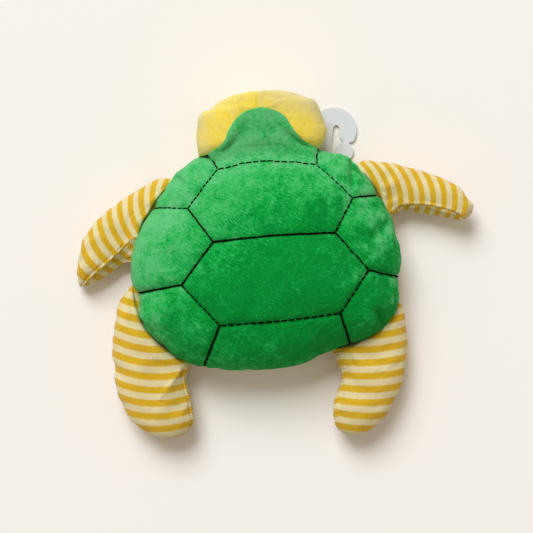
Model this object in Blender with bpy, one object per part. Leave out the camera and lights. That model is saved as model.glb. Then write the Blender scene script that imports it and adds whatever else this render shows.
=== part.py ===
"""Plush turtle: a stuffed shell with a head, two flippers and two legs, and a hang hook.

The frame is +Z up, +Y to the head and +X to the turtle's right. The origin is on the belly's
flat rest face, under the middle of the shell. Every length is in metres.
"""
import math

import bmesh
import bpy
import numpy as np
from mathutils import Vector
from mathutils.bvhtree import BVHTree

for old in list(bpy.data.objects):
    bpy.data.objects.remove(old, do_unlink=True)

# Fabric and fits
FABRIC_THICKNESS = 0.0016
CLEARANCE = 0.0003
SEAM_GAP = 0.0005
FILLING_GAP = 0.001
ROOT_CLEARANCE = 0.0009
EDGE_HALF_THICKNESS = 0.0005
FILLING_EDGE = 0.0002
HEM_RADIUS = 0.0016
HEM_DEPTH = 0.006
REST_CLEARANCE = 0.0006
MERGE_DISTANCE = 0.000003

# Shell
SHELL_HALF_WIDTH = 0.100
SHELL_DOME_RISE = 0.041
SEAM_HEIGHT = 0.018
RIM_RADIUS = 0.008
RIM_RISE = 0.006
BELLY_ROUNDING = 0.024
STUFFING_INSET = 0.004

# Thread on the shell
THREAD_RADIUS = 0.0006
THREAD_STEP = 0.006
STITCH_GAP = 0.002

# Limbs: length along the outer edge's chord, half thickness, lift of the tip and reach of the root
FLIPPER_LENGTH = 0.080
FLIPPER_HALF_THICKNESS = 0.011
LEG_LENGTH = 0.080
LEG_HALF_THICKNESS = 0.0155
LEFT_FLIPPER_TIP_LIFT = 0.001
RIGHT_FLIPPER_TIP_LIFT = 0.010
LEG_TIP_LIFT = 0.002
TOE_ROUNDING = 0.012

# Head
HEAD_REACH = 0.042
HEAD_HALF_HEIGHT = 0.023
HEAD_LIFT = 0.004
HOOD_START = 0.005
HOOD_LENGTH = 0.024
HOOD_BASE_HALF_WIDTH = 0.031
HOOD_SIDE_SHIFT = 0.003
EYE_RADIUS = 0.0045
EYE_HEIGHT = 0.0025

# Hang hook and tag pin
HOOK_THICKNESS = 0.0016
HOOK_STROKE = 0.0123
HOOK_SLOT_WIDTH = 0.0052
HOOK_LOBE_RADIUS = 0.0062
HOOK_LOBE_SIDE_SHARE = 0.6
HOOK_NECK_HALF_WIDTH = 0.0029
HOOK_EYE_RADIUS = 0.0045
HOOK_ARCH_ALONG = 0.0225
HOOK_LOBE_ALONG = 0.0058
HOOK_ARCH_END_DEG = -20.0
HOOK_LOBE_OPEN_DEG = 28.0
PIN_RADIUS = 0.0006
PIN_END_RADIUS = 0.0018
PIN_END_THICKNESS = 0.0004
PIN_END_LIFT = 0.0001
HOOK_TURN_DEG = -11.0
PIN_ANGLE_DEG = 57.7
PIN_INSET = 0.0055

# Shell outline: the rim's distance from the middle every 20 degrees from +X, as shares of the half width
SHELL_OUTLINE_SHARES = (
    1.00, 0.98, 0.98, 0.93, 0.875, 0.875, 0.93, 0.925, 0.96,
    1.00, 1.02, 0.975, 0.87, 0.80, 0.79, 0.805, 0.94, 1.02,
)

# Stitch corners on the shell, as shares of the half width
STITCH_CORNER_SHARES = {
    "front_left": (-0.307, 0.715),
    "front_right": (0.429, 0.690),
    "side_left": (-0.551, 0.444),
    "side_right": (0.680, 0.429),
    "middle_left": (-0.379, 0.182),
    "middle_right": (0.530, 0.177),
    "waist_left": (-0.637, -0.121),
    "waist_right": (0.755, -0.119),
    "back_left": (-0.380, -0.441),
    "back_right": (0.520, -0.423),
}
FRONT_OUTLINE = ("front_left", "side_left", "middle_left", "middle_right", "side_right", "front_right")
BACK_OUTLINE = ("middle_left", "waist_left", "back_left", "back_right", "waist_right", "middle_right")
# Each spoke runs from its corner to the rim, at this angle from +X
STITCH_SPOKE_ANGLES_DEG = {
    "front_left": 113.5, "front_right": 61.0, "side_left": 149.8, "side_right": 26.7,
    "waist_left": 188.8, "waist_right": 349.0, "back_left": 234.1, "back_right": 312.1,
}
SPOKE_END_SHARE = 0.985


def material(name, colour, roughness, metallic=0.0):
    """A Principled material with a plain colour."""
    made = bpy.data.materials.new(name)
    made.use_nodes = True
    surface = made.node_tree.nodes["Principled BSDF"]
    surface.inputs["Base Color"].default_value = (*colour, 1.0)
    surface.inputs["Roughness"].default_value = roughness
    surface.inputs["Metallic"].default_value = metallic
    return made


def place(name, mesh, surface, parent=None):
    """Link a mesh as an object of this name, with its material, smooth shading and parent."""
    mesh.materials.append(surface)
    mesh.shade_smooth()
    made = bpy.data.objects.new(name, mesh)
    bpy.context.scene.collection.objects.link(made)
    made.parent = parent
    return made


def joint_empty(name, location, heading=0.0):
    """An empty on a joint's axis, turned about Z so that its X points outward."""
    made = bpy.data.objects.new(name, None)
    made.location = location
    made.rotation_euler = (0, 0, heading)
    bpy.context.scene.collection.objects.link(made)
    return made


def curve_through(points, steps=16):
    """Catmull-Rom curve through the points, with this many steps in each span."""
    points = np.asarray(points, dtype=float)
    before = 2 * points[0] - points[1]
    after = 2 * points[-1] - points[-2]
    knots = np.vstack([before, points, after])
    t = np.linspace(0, 1, steps, endpoint=False)[:, None]
    spans = []
    for a, b, c, d in zip(knots, knots[1:], knots[2:], knots[3:]):
        cubic = 2 * b + (c - a) * t + (2 * a - 5 * b + 4 * c - d) * t**2 + (3 * b - a - 3 * c + d) * t**3
        spans.append(cubic / 2)
    return np.vstack(spans + [points[-1:]])


def read_shares(shares, at):
    """The value of a smooth curve through (place, value) shares at the given places."""
    curve = curve_through(shares)
    return np.interp(at, curve[:, 0], curve[:, 1])


def at_fractions(line, fractions):
    """Points of a polyline at these fractions of its length."""
    steps = np.linalg.norm(np.diff(line, axis=0), axis=1)
    run = np.concatenate([[0], np.cumsum(steps)])
    run /= run[-1]
    return np.stack([np.interp(fractions, run, line[:, k]) for k in range(line.shape[1])], axis=1)


def grid_faces(rows, columns, wrap, first=0, flip=False):
    """Triangles of a grid whose points are numbered row by row, all cut along the same diagonal."""
    triangles = []
    for i in range(rows - 1):
        for j in range(columns if wrap else columns - 1):
            k = (j + 1) % columns
            near, far = first + i * columns, first + (i + 1) * columns
            for triangle in ([near + j, near + k, far + k], [near + j, far + k, far + j]):
                triangles.append(triangle[::-1] if flip else triangle)
    return triangles


def solid_mesh(name, points, faces):
    """A mesh whose doubled points are merged and whose faces all point outward."""
    mesh = bpy.data.meshes.new(name)
    mesh.from_pydata(points.tolist(), [], faces)
    shape = bmesh.new()
    shape.from_mesh(mesh)
    bmesh.ops.remove_doubles(shape, verts=shape.verts, dist=MERGE_DISTANCE)
    bmesh.ops.dissolve_degenerate(shape, edges=shape.edges, dist=MERGE_DISTANCE)
    bmesh.ops.recalc_face_normals(shape, faces=shape.faces)
    shape.to_mesh(mesh)
    shape.free()
    return mesh


def layered_mesh(name, outer, inner, wrap=False):
    """A closed sheet between two grids of the same size, joined along their open borders."""
    rows, columns = outer.shape[:2]
    count = rows * columns
    points = np.concatenate([outer.reshape(-1, 3), inner.reshape(-1, 3)])
    faces = grid_faces(rows, columns, wrap) + grid_faces(rows, columns, wrap, count, True)
    border = [((rows - 1) * columns + j) for j in range(columns)]
    if wrap:
        border.append(border[0])
        borders = [border]
    else:
        top = [j for j in range(columns)]
        left = [i * columns for i in range(rows)]
        right = [i * columns + columns - 1 for i in range(rows)]
        borders = [border, top, left, right]
    for line in borders:
        for a, b in zip(line, line[1:]):
            faces.append([a, b, count + b, count + a])
    return solid_mesh(name, points, faces)


def skin_mesh(name, grid):
    """A closed skin from a grid that wraps round and shrinks to a line or a point at both ends."""
    rows, columns = grid.shape[:2]
    return solid_mesh(name, grid.reshape(-1, 3), grid_faces(rows, columns, True))


# Materials
green_plush = material("green_plush", (0.03, 0.36, 0.10), 0.9)
yellow_plush = material("yellow_plush", (0.80, 0.64, 0.14), 0.9)
striped_jersey = material("striped_jersey", (0.72, 0.58, 0.22), 0.9)
plain_jersey = material("plain_jersey", (0.76, 0.64, 0.30), 0.9)
stuffing = material("stuffing", (0.86, 0.86, 0.84), 1.0)
black_thread = material("black_thread", (0.012, 0.012, 0.012), 0.7)
black_plastic = material("black_plastic", (0.01, 0.01, 0.01), 0.2)
grey_plastic = material("grey_plastic", (0.68, 0.67, 0.67), 0.35)


# Shell: a dome over a seam that is tucked under a rounded rim, and a belly with a flat rest face
def shell_outline(angle):
    """The rim's distance from the middle, smooth and closed, at an angle from +X in radians."""
    shares = np.array(SHELL_OUTLINE_SHARES)
    count = len(shares)
    spot = (np.asarray(angle) / (2 * math.pi) % 1) * count
    low = np.floor(spot).astype(int)
    t = spot - low
    a, b, c, d = (shares[(low + k) % count] for k in (-1, 0, 1, 2))
    cubic = 2 * b + (c - a) * t + (2 * a - 5 * b + 4 * c - d) * t**2 + (3 * b - a - 3 * c + d) * t**3
    return SHELL_HALF_WIDTH * cubic / 2


RIM_HEIGHT = SEAM_HEIGHT + RIM_RISE
SHELL_SIDES = 40
DOME_RINGS = 8
DOME_ROUNDNESS = 2.2
BELLY_RINGS = 6
UNDERCUT_RINGS = 3
around = np.arange(SHELL_SIDES) * 2 * math.pi / SHELL_SIDES
heading = np.stack([np.cos(around), np.sin(around)], axis=1)


def dome_height(share, inset):
    """Height of the dome where the distance from the middle is this share of the outline."""
    arch = (1 - np.clip(share, 0, 1) ** DOME_ROUNDNESS) ** (1 / DOME_ROUNDNESS)
    return RIM_HEIGHT + (SHELL_DOME_RISE - inset) * arch


def rings_to_grid(radii, heights):
    """A grid of points from the radius (per ring and side) and the height (per ring) of rings."""
    grid = np.empty((*radii.shape, 3))
    grid[..., :2] = radii[..., None] * heading
    grid[..., 2] = heights[:, None]
    return grid


def dome_grid(inset, seam):
    """Rings from the crown over the rim and down its undercut to the seam height given."""
    rim = shell_outline(around) - inset
    share = np.sin(np.linspace(0, math.pi / 2, DOME_RINGS + 1))
    round_under = RIM_RADIUS - inset
    dip = np.arcsin((RIM_HEIGHT - seam) / round_under)
    turn = np.linspace(0, dip, UNDERCUT_RINGS + 1)[1:]
    radii = np.vstack([share[:, None] * rim, rim - round_under * (1 - np.cos(turn))[:, None]])
    heights = np.concatenate([dome_height(share, inset), RIM_HEIGHT - round_under * np.sin(turn)])
    return rings_to_grid(radii, heights)


def seam_inset(inset):
    """How far the seam lies inside the outline on a layer at this inset."""
    round_under = RIM_RADIUS - inset
    return inset + round_under * (1 - math.sqrt(1 - (RIM_RISE / round_under) ** 2))


def belly_grid(inset, seam):
    """Rings from the middle of the flat bottom out and up to the seam height given."""
    edge = shell_outline(around) - seam_inset(inset)
    flat = shell_outline(around) - BELLY_ROUNDING
    turn = np.linspace(0, math.pi / 2, BELLY_RINGS)
    radii = np.vstack([0 * flat, flat + (edge - flat) * np.sin(turn)[:, None]])
    heights = inset + (seam - inset) * (1 - np.cos(turn))
    return rings_to_grid(radii, np.concatenate([[inset], heights]))


top_seam = SEAM_HEIGHT + CLEARANCE / 2
low_seam = SEAM_HEIGHT - CLEARANCE / 2
shell_top = layered_mesh(
    "shell_top_panel", dome_grid(0, top_seam), dome_grid(FABRIC_THICKNESS, top_seam), wrap=True)
place("shell_top_panel", shell_top, green_plush)
belly = layered_mesh(
    "belly_panel", belly_grid(0, low_seam), belly_grid(FABRIC_THICKNESS, low_seam), wrap=True)
place("belly_panel", belly, plain_jersey)

# The stuffing fills both, with a blunt edge at the seam
fill_inset = FABRIC_THICKNESS + CLEARANCE
upper_fill = dome_grid(fill_inset, RIM_HEIGHT - (RIM_RADIUS - fill_inset) / 2)
lower_fill = belly_grid(fill_inset, SEAM_HEIGHT - STUFFING_INSET)[::-1]
lower_fill[..., :2] *= (1 - STUFFING_INSET / SHELL_HALF_WIDTH)
place("shell_filling", skin_mesh("shell_filling", np.concatenate([upper_fill, lower_fill])), stuffing)


# Black thread: two outlines and their spokes, as tubes that lie on the dome
def dome_at(flat_points):
    """Height of the dome at these places."""
    radius = np.linalg.norm(flat_points, axis=1)
    return dome_height(radius / shell_outline(np.arctan2(flat_points[:, 1], flat_points[:, 0])), 0)


def on_dome(flat_points, lift):
    """Points of the dome at these places, lifted along its normal."""
    probe = THREAD_RADIUS
    slopes = [
        (dome_at(flat_points + step) - dome_at(flat_points - step)) / (2 * probe)
        for step in (np.array([probe, 0]), np.array([0, probe]))]
    normal = np.column_stack([-slopes[0], -slopes[1], np.ones(len(flat_points))])
    normal /= np.linalg.norm(normal, axis=1)[:, None]
    return np.column_stack([flat_points, dome_at(flat_points)]) + normal * lift


def stitch_run(start, end):
    """Places from start towards end at even steps along the dome, without the end itself."""
    fine = start + (end - start) * np.linspace(0, 1, 200)[:, None]
    lifted = np.column_stack([fine, dome_at(fine)])
    span = float(np.sum(np.linalg.norm(np.diff(lifted, axis=0), axis=1)))
    steps = max(2, round(span / THREAD_STEP))
    return at_fractions(lifted, np.linspace(0, 1, steps, endpoint=False))[:, :2]


def thread(name, places, closed):
    """A tube of thread along the dome through these places."""
    curve = bpy.data.curves.new(name, "CURVE")
    curve.dimensions = "3D"
    curve.bevel_depth = THREAD_RADIUS
    curve.bevel_resolution = 0
    curve.use_fill_caps = True
    line = curve.splines.new("POLY")
    line.points.add(len(places) - 1)
    line.use_cyclic_u = closed
    for point, spot in zip(line.points, on_dome(places, THREAD_RADIUS + 2 * CLEARANCE)):
        point.co = (*spot, 1)
    curve.materials.append(black_thread)
    made = bpy.data.objects.new(name, curve)
    bpy.context.scene.collection.objects.link(made)


corners = {name: SHELL_HALF_WIDTH * np.array(spot) for name, spot in STITCH_CORNER_SHARES.items()}
front_ring = [corners[name] for name in FRONT_OUTLINE]
ring_runs = [stitch_run(a, b) for a, b in zip(front_ring, front_ring[1:] + front_ring[:1])]
thread("front_outline_stitching", np.vstack(ring_runs), True)
back_line = [corners[name] for name in BACK_OUTLINE]
back_runs = [stitch_run(a, b) for a, b in zip(back_line, back_line[1:])]
back_places = np.vstack(back_runs + back_line[-1:])
for end, neighbour in ((0, 1), (-1, -2)):
    inward = back_places[neighbour] - back_places[end]
    back_places[end] += STITCH_GAP * inward / np.linalg.norm(inward)
thread("back_outline_stitching", back_places, False)
for corner, angle_deg in STITCH_SPOKE_ANGLES_DEG.items():
    angle = math.radians(angle_deg)
    rim_point = SPOKE_END_SHARE * shell_outline(angle) * np.array([math.cos(angle), math.sin(angle)])
    away = (rim_point - corners[corner]) / np.linalg.norm(rim_point - corners[corner])
    spoke = np.vstack([stitch_run(corners[corner] + STITCH_GAP * away, rim_point), rim_point])
    thread(corner + "_spoke_stitching", spoke, False)


# Limbs and head: ribs between a leading and a trailing edge, each an ellipse across
STATIONS = 13
ACROSS = 8
LAST_STATION_SHARE = 0.985
HUG_SHARE = 0.80
FLIPPER_PLUMP_SHARE = 0.4
LEG_PLUMP_SHARE = 0.5
SETTLE_SHARE = 0.35
SEAM_FLATNESS = 0.8
SWELL_SHARES = (
    (0, 0), (0.06, 0.12), (0.12, 0.34), (0.25, 0.78), (0.42, 1),
    (0.65, 0.95), (0.85, 0.68), (0.95, 0.42), (1, 0.2),
)


class Form:
    """A stuffed form sewn to the shell's seam between two angles of its outline.

    Its own frame has X outward, square to the hinge, and Z up. The hinge runs along Y, at the
    middle of the root. Outline points are shares of the length, from the root to the tip, with
    the place along the hinge counted from the leading to the trailing edge.
    """

    def __init__(
            self, lead_deg, trail_deg, length, half_thickness, lead, trail, tip_lift,
            lift=REST_CLEARANCE, plump=1, swell=SWELL_SHARES, wedge_deg=45, root_gap=ROOT_CLEARANCE):
        lead_angle, trail_angle = math.radians(lead_deg), math.radians(trail_deg)
        ends = [shell_outline(a) * np.array([math.cos(a), math.sin(a)]) for a in (lead_angle, trail_angle)]
        self.side = 1 if trail_deg > lead_deg else -1
        along = (ends[1] - ends[0]) / np.linalg.norm(ends[1] - ends[0])
        self.outward = self.side * np.array([along[1], -along[0]])
        self.heading = math.atan2(self.outward[1], self.outward[0])
        span = np.linspace(lead_angle, trail_angle, 60)
        rim = shell_outline(span)[:, None] * np.stack([np.cos(span), np.sin(span)], axis=1)
        reach = float(np.max(rim @ self.outward))
        beside = math.sqrt((RIM_RADIUS + HEM_RADIUS + root_gap) ** 2 - RIM_RISE**2) - RIM_RADIUS
        middle = float(np.mean([end @ along for end in ends]))
        self.hinge = self.outward * (reach + beside) + along * middle
        self.rim_behind = rim @ self.outward - reach
        self.rim_along = rim @ along - middle
        self.length = length
        self.half_thickness = half_thickness
        self.lift = lift
        self.tip_lift = tip_lift
        self.plump = plump
        self.swell = swell
        self.wedge = math.radians(wedge_deg)
        root_half = float(np.linalg.norm(ends[1] - ends[0])) / 2
        root_ends = [(self.root_edge(-root_half), -root_half), (self.root_edge(root_half), root_half)]
        self.lead = curve_through(np.vstack([root_ends[0], length * np.array(lead)]))
        self.trail = curve_through(np.vstack([root_ends[1], length * np.array(trail)]))
        runs = [np.sum(np.linalg.norm(np.diff(edge, axis=0), axis=1)) for edge in (self.lead, self.trail)]
        self.run = float(np.mean(runs))

    def root_edge(self, along):
        """How far behind the hinge the root's hem lies: it follows the shell's rim."""
        return HUG_SHARE * np.interp(along, self.rim_along, self.rim_behind) - HEM_RADIUS

    def edges(self, inset):
        """The leading and the trailing edge, drawn in square to themselves."""
        loop = np.vstack([self.lead, self.trail[::-1][1:]])
        run = np.gradient(loop, axis=0)
        run /= np.linalg.norm(run, axis=1)[:, None]
        left = np.stack([-run[:, 1], run[:, 0]], axis=1)
        area = np.sum(loop[:-1, 0] * loop[1:, 1] - loop[1:, 0] * loop[:-1, 1])
        moved = loop + math.copysign(inset, area) * left
        return moved[:len(self.lead)], moved[len(self.lead) - 1:][::-1]

    def half_height(self, s):
        """Half the thickness: a round hem at the root, a swell, and a round toe at the tip."""
        hem = np.clip(s * self.run / HEM_RADIUS, 0, 1)
        toe = np.clip((1 - s) * self.run / TOE_ROUNDING, 0, 1)
        swell = (self.half_thickness - HEM_RADIUS) * read_shares(self.swell, s)
        height = (HEM_RADIUS * np.sqrt(1 - (1 - hem) ** 2) + swell) * np.sqrt(1 - (1 - toe) ** 2)
        return np.maximum(height, EDGE_HALF_THICKNESS)

    def middle_height(self, s):
        """Height of the middle surface above the hinge: it comes down to lie on the floor."""
        lying = self.lift + self.tip_lift * s**2 + (1 - self.plump) * self.half_height(s)
        lying = lying + self.plump * self.half_thickness
        blend = np.clip(s / SETTLE_SHARE, 0, 1)
        return (lying - SEAM_HEIGHT) * blend**2 * (3 - 2 * blend)

    def ribs(self, inset, s):
        """Leading points, trailing points, half heights and middle heights at these stations."""
        lead, trail = self.edges(inset)
        height = self.half_height(s)
        if inset:
            start = np.clip((s - s[0]) * self.run / TOE_ROUNDING, 0, 1)
            end = np.clip((s[-1] - s) * self.run / TOE_ROUNDING, 0, 1)
            round_ends = np.sqrt((1 - (1 - start) ** 2) * (1 - (1 - end) ** 2))
            height = np.maximum((height - inset) * round_ends, FILLING_EDGE)
        return at_fractions(lead, s), at_fractions(trail, s), height, self.middle_height(s)

    def points(self, ribs, s, turn, inset=0.0):
        """Points at station s and angle turn round the rib: 0 is the leading edge, pi the trailing.

        The form opens from its hem no faster than a wedge, so that it clears the rim as it swings.
        """
        lead, trail, height, middle = ribs
        across = np.cos(turn)
        centre = (lead + trail) / 2
        half = (lead - trail) / 2
        flat = centre[:, None, :] + across[..., None] * half[:, None, :]
        root_line = self.root_edge(flat[..., 1])
        root_ends = (self.root_edge(self.lead[0, 1]), self.root_edge(self.trail[0, 1]))
        straight = np.interp(flat[..., 1], [self.lead[0, 1], self.trail[0, 1]], root_ends)
        bow = (root_line - straight) * (1 - s[:, None]) ** 3
        grid = np.empty((*across.shape, 3))
        grid[..., 0] = flat[..., 0] + bow
        grid[..., 1] = self.side * flat[..., 1]
        behind = np.maximum(grid[..., 0] - root_line - HEM_RADIUS, 0)
        limit = HEM_RADIUS + behind * math.tan(self.wedge) - inset / math.cos(self.wedge)
        limit = np.maximum(limit, FILLING_EDGE if inset > FABRIC_THICKNESS else EDGE_HALF_THICKNESS)
        grid[..., 2] = middle[:, None] + np.clip(height[:, None] * np.sin(turn), -limit, limit)
        return grid

    def stations(self, inset):
        """Shares of the edge's length, closer together at both ends. Inner layers stop at the hem."""
        k = np.linspace(0, 1, STATIONS)
        start = HEM_DEPTH / self.run if inset else 0
        end = LAST_STATION_SHARE - inset / self.run
        return start + (end - start) * (k + (1 - np.cos(math.pi * k)) / 2) / 2

    def layer(self, inset, seam_from, seam_to):
        """A grid of one fabric face between two seams, given as functions of the station."""
        s = self.stations(inset)
        ribs = self.ribs(inset, s)
        ribs = (*ribs[:2], np.maximum(ribs[2], EDGE_HALF_THICKNESS), ribs[3])
        first, last = seam_from(s), seam_to(s)
        turn = first[:, None] + (last - first)[:, None] * np.linspace(0, 1, ACROSS + 1)
        grid = self.points(ribs, s, turn, inset)
        across = ribs[0] - ribs[1]
        half_width = np.linalg.norm(across, axis=1) / 2
        for column, seam, sign in ((0, first, 1), (-1, last, -1)):
            slide = -half_width * np.sin(seam)
            climb = ribs[2] * np.cos(seam)
            shift = sign * SEAM_GAP / 2 / np.hypot(slide, climb)
            grid[:, column, :2] += (shift * slide / (2 * half_width))[:, None] * across * [1, self.side]
            grid[:, column, 2] += shift * climb
        return grid

    def panel(self, name, surface, parent, seam_from, seam_to):
        """A fabric panel between two seams."""
        outer = self.layer(0, seam_from, seam_to)
        inner = self.layer(FABRIC_THICKNESS, seam_from, seam_to)
        return place(name, layered_mesh(name, outer, inner), surface, parent)

    def filling(self, name, parent, first_seam, second_seam):
        """The stuffing inside the panels, with its corners where theirs are."""
        s = self.stations(FABRIC_THICKNESS)[2:]
        spread = np.linspace(0, 1, ACROSS, endpoint=False)
        first, second = first_seam(s)[:, None], second_seam(s)[:, None]
        whole = first + 2 * math.pi
        turn = np.hstack([first + (second - first) * spread, second + (whole - second) * spread])
        inset = FABRIC_THICKNESS + FILLING_GAP
        grid = self.points(self.ribs(inset, s), s, turn, inset)
        grid[-1] = grid[-1].mean(axis=0)
        faces = grid_faces(*grid.shape[:2], True)
        edge = int(np.argmax(np.cos(turn[0])))
        for k in range(ACROSS):
            corners_across = (edge + k, edge + k + 1, edge - k - 1, edge - k)
            faces.append([corner % (2 * ACROSS) for corner in corners_across])
        return place(name, solid_mesh(name, grid.reshape(-1, 3), faces), stuffing, parent)


def limb(name, form, joint_name, seam_turn_deg):
    """Empty, upper panel, lower panel and stuffing. The trailing seam is turned up into view."""
    pivot = joint_empty(joint_name, (*form.hinge, SEAM_HEIGHT), form.heading)

    def lead_seam(s):
        return 0 * s

    def trail_seam(s):
        return math.pi - math.radians(seam_turn_deg) * np.sin(math.pi * s) ** SEAM_FLATNESS

    def lead_seam_again(s):
        return 0 * s + 2 * math.pi

    form.panel(name + "_upper_panel", striped_jersey, pivot, lead_seam, trail_seam)
    form.panel(name + "_lower_panel", striped_jersey, pivot, trail_seam, lead_seam_again)
    form.filling(name + "_filling", pivot, lead_seam, trail_seam)


left_flipper = Form(
    132.1, 174.0, FLIPPER_LENGTH, FLIPPER_HALF_THICKNESS,
    lead=(
        (0.05, -0.32), (0.235, -0.10), (0.385, 0.25), (0.42, 0.47),
        (0.37, 0.665), (0.30, 0.82), (0.215, 0.855)),
    trail=((0.00, 0.525), (0.05, 0.62), (0.125, 0.755), (0.215, 0.855)),
    tip_lift=LEFT_FLIPPER_TIP_LIFT, plump=FLIPPER_PLUMP_SHARE)
limb("left_flipper", left_flipper, "left_flipper_root", 55)

right_flipper = Form(
    44.3, 16.3, FLIPPER_LENGTH, FLIPPER_HALF_THICKNESS,
    lead=((0.15, -0.20), (0.37, 0.03), (0.54, 0.24), (0.645, 0.45), (0.66, 0.65), (0.58, 0.72)),
    trail=((0.10, 0.33), (0.26, 0.47), (0.43, 0.64), (0.58, 0.72)),
    tip_lift=RIGHT_FLIPPER_TIP_LIFT, plump=FLIPPER_PLUMP_SHARE, root_gap=CLEARANCE)
limb("right_flipper", right_flipper, "right_flipper_root", 45)

left_leg = Form(
    184.2, 227.8, LEG_LENGTH, LEG_HALF_THICKNESS,
    lead=(
        (0.00, -0.38), (0.20, -0.24), (0.36, -0.03), (0.51, 0.23),
        (0.58, 0.50), (0.52, 0.79), (0.37, 0.95)),
    trail=((-0.04, 0.58), (0.05, 0.80), (0.13, 0.94), (0.25, 0.98), (0.37, 0.95)),
    tip_lift=LEG_TIP_LIFT, plump=LEG_PLUMP_SHARE)
limb("left_leg", left_leg, "left_leg_root", 30)

right_leg = Form(
    338.9, 303.5, LEG_LENGTH, LEG_HALF_THICKNESS,
    lead=(
        (0.04, -0.33), (0.23, -0.22), (0.44, -0.03), (0.60, 0.19),
        (0.68, 0.46), (0.66, 0.64), (0.61, 0.72)),
    trail=((0.02, 0.42), (0.14, 0.46), (0.25, 0.60), (0.36, 0.72), (0.49, 0.77), (0.61, 0.72)),
    tip_lift=LEG_TIP_LIFT, plump=LEG_PLUMP_SHARE)
limb("right_leg", right_leg, "right_leg_root", 30)


# Head: a left and a right side of plush that meet in a seam down the middle, over its stuffing
HEAD_SWELL_SHARES = (
    (0, 0), (0.05, 0.14), (0.12, 0.60), (0.20, 0.86), (0.30, 0.98), (0.38, 1), (0.48, 0.95),
    (0.62, 0.78), (0.78, 0.56), (0.90, 0.42), (1, 0.34),
)
head = Form(
    117.8, 61.7, HEAD_REACH, HEAD_HALF_HEIGHT,
    lead=(
        (0.20, -1.06), (0.43, -1.04), (0.58, -0.99), (0.68, -0.80),
        (0.80, -0.62), (0.90, -0.36), (0.955, 0.02)),
    trail=(
        (0.20, 1.21), (0.38, 1.20), (0.54, 1.15), (0.68, 1.05),
        (0.80, 0.84), (0.90, 0.54), (0.955, 0.02)),
    tip_lift=0, lift=HEAD_LIFT, swell=HEAD_SWELL_SHARES, wedge_deg=66)
head_pivot = joint_empty("head_nod", (*head.hinge, SEAM_HEIGHT), head.heading)


def top_seam_turn(s):
    return 0 * s + math.pi / 2


def low_seam_turn(s):
    return 0 * s - math.pi / 2


def low_seam_again(s):
    return 0 * s + 3 * math.pi / 2


head_panels = {
    "left": head.panel("head_left_panel", yellow_plush, head_pivot, low_seam_turn, top_seam_turn),
    "right": head.panel("head_right_panel", yellow_plush, head_pivot, top_seam_turn, low_seam_again),
}
head.filling("head_filling", head_pivot, low_seam_turn, top_seam_turn)


# Hood: a tongue of green plush over the head's top, from the neck to a round peak
HOOD_HALF_WIDTH_SHARES = (
    (0, 1), (0.18, 0.90), (0.35, 0.76), (0.6, 0.68), (0.8, 0.55), (0.93, 0.36), (1, 0.06),
)
HOOD_ROWS = 11
HOOD_COLUMNS = 9


def head_surface(s, turn):
    """Points of the head's outside for arrays of station and turn."""
    return head.points(head.ribs(0, s), s, turn)


def outward_normals(grid):
    """Unit normals of a grid of points, from the steps along its rows and columns."""
    normal = np.cross(np.gradient(grid, axis=0), np.gradient(grid, axis=1))
    return normal / np.linalg.norm(normal, axis=-1)[..., None]


crest_steps = np.linspace(0, 1, 200)
crest = head_surface(crest_steps, np.full((200, 1), math.pi / 2))[:, 0, 0]
hood_rows = np.linspace(0, 1, HOOD_ROWS)
hood_station = np.interp(HOOD_START + HOOD_LENGTH * hood_rows, crest, crest_steps)
hood_half = HOOD_BASE_HALF_WIDTH * read_shares(HOOD_HALF_WIDTH_SHARES, hood_rows)
hood_lead, hood_trail = head.ribs(0, hood_station)[:2]
rib_half = np.linalg.norm(hood_lead - hood_trail, axis=1) / 2
rib_centre = (hood_lead + hood_trail)[:, 1] / 2
hood_place = HOOD_SIDE_SHIFT + np.linspace(-1, 1, HOOD_COLUMNS) * hood_half[:, None]
hood_turn = np.arccos((rib_centre[:, None] - hood_place) / rib_half[:, None])
hood_under = head_surface(hood_station, hood_turn)
hood_normals = outward_normals(hood_under)
hood_normals *= np.sign(hood_normals[..., 2:])
hood_mesh = layered_mesh(
    "head_hood", hood_under + (2 * CLEARANCE + FABRIC_THICKNESS) * hood_normals,
    hood_under + 2 * CLEARANCE * hood_normals)
place("head_hood", hood_mesh, green_plush, head_pivot)


def turned_mesh(name, profile, sides):
    """A solid turned about Z from (radius, height) points that start and end on the axis."""
    turn = np.arange(sides) * 2 * math.pi / sides
    profile = np.array(profile)
    grid = np.empty((len(profile), sides, 3))
    grid[..., 0] = profile[:, :1] * np.cos(turn)
    grid[..., 1] = profile[:, :1] * np.sin(turn)
    grid[..., 2] = profile[:, 1:]
    return skin_mesh(name, grid)


# Eyes: domed buttons on the plush, just below the head's widest line
EYE_STATION = 0.36
EYE_DIP_DEG = 27
EYE_SIDES = 16
EYE_RINGS = 5
eye_turn = np.linspace(0, math.pi / 2, EYE_RINGS)
eye_profile = [(0, 0)] + [(EYE_RADIUS * math.cos(a), EYE_HEIGHT * math.sin(a)) for a in eye_turn]
for side_name, eye_angle_deg in (("left", -EYE_DIP_DEG), ("right", 180 + EYE_DIP_DEG)):
    at_turn = math.radians(eye_angle_deg)
    patch = head_surface(np.array([EYE_STATION]), np.array([[at_turn]]))[0, 0]
    side_panel = head_panels[side_name].data
    corners_list = [corner.co for corner in side_panel.vertices]
    facets = BVHTree.FromPolygons(corners_list, [list(facet.vertices) for facet in side_panel.polygons])
    seat, normal = facets.find_nearest(Vector(patch))[:2]
    button = turned_mesh(side_name + "_eye", eye_profile, EYE_SIDES)
    eye = place(side_name + "_eye", button, black_plastic, head_pivot)
    eye.location = seat + CLEARANCE * normal
    eye.rotation_euler = normal.to_track_quat("Z", "Y").to_euler()


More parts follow.
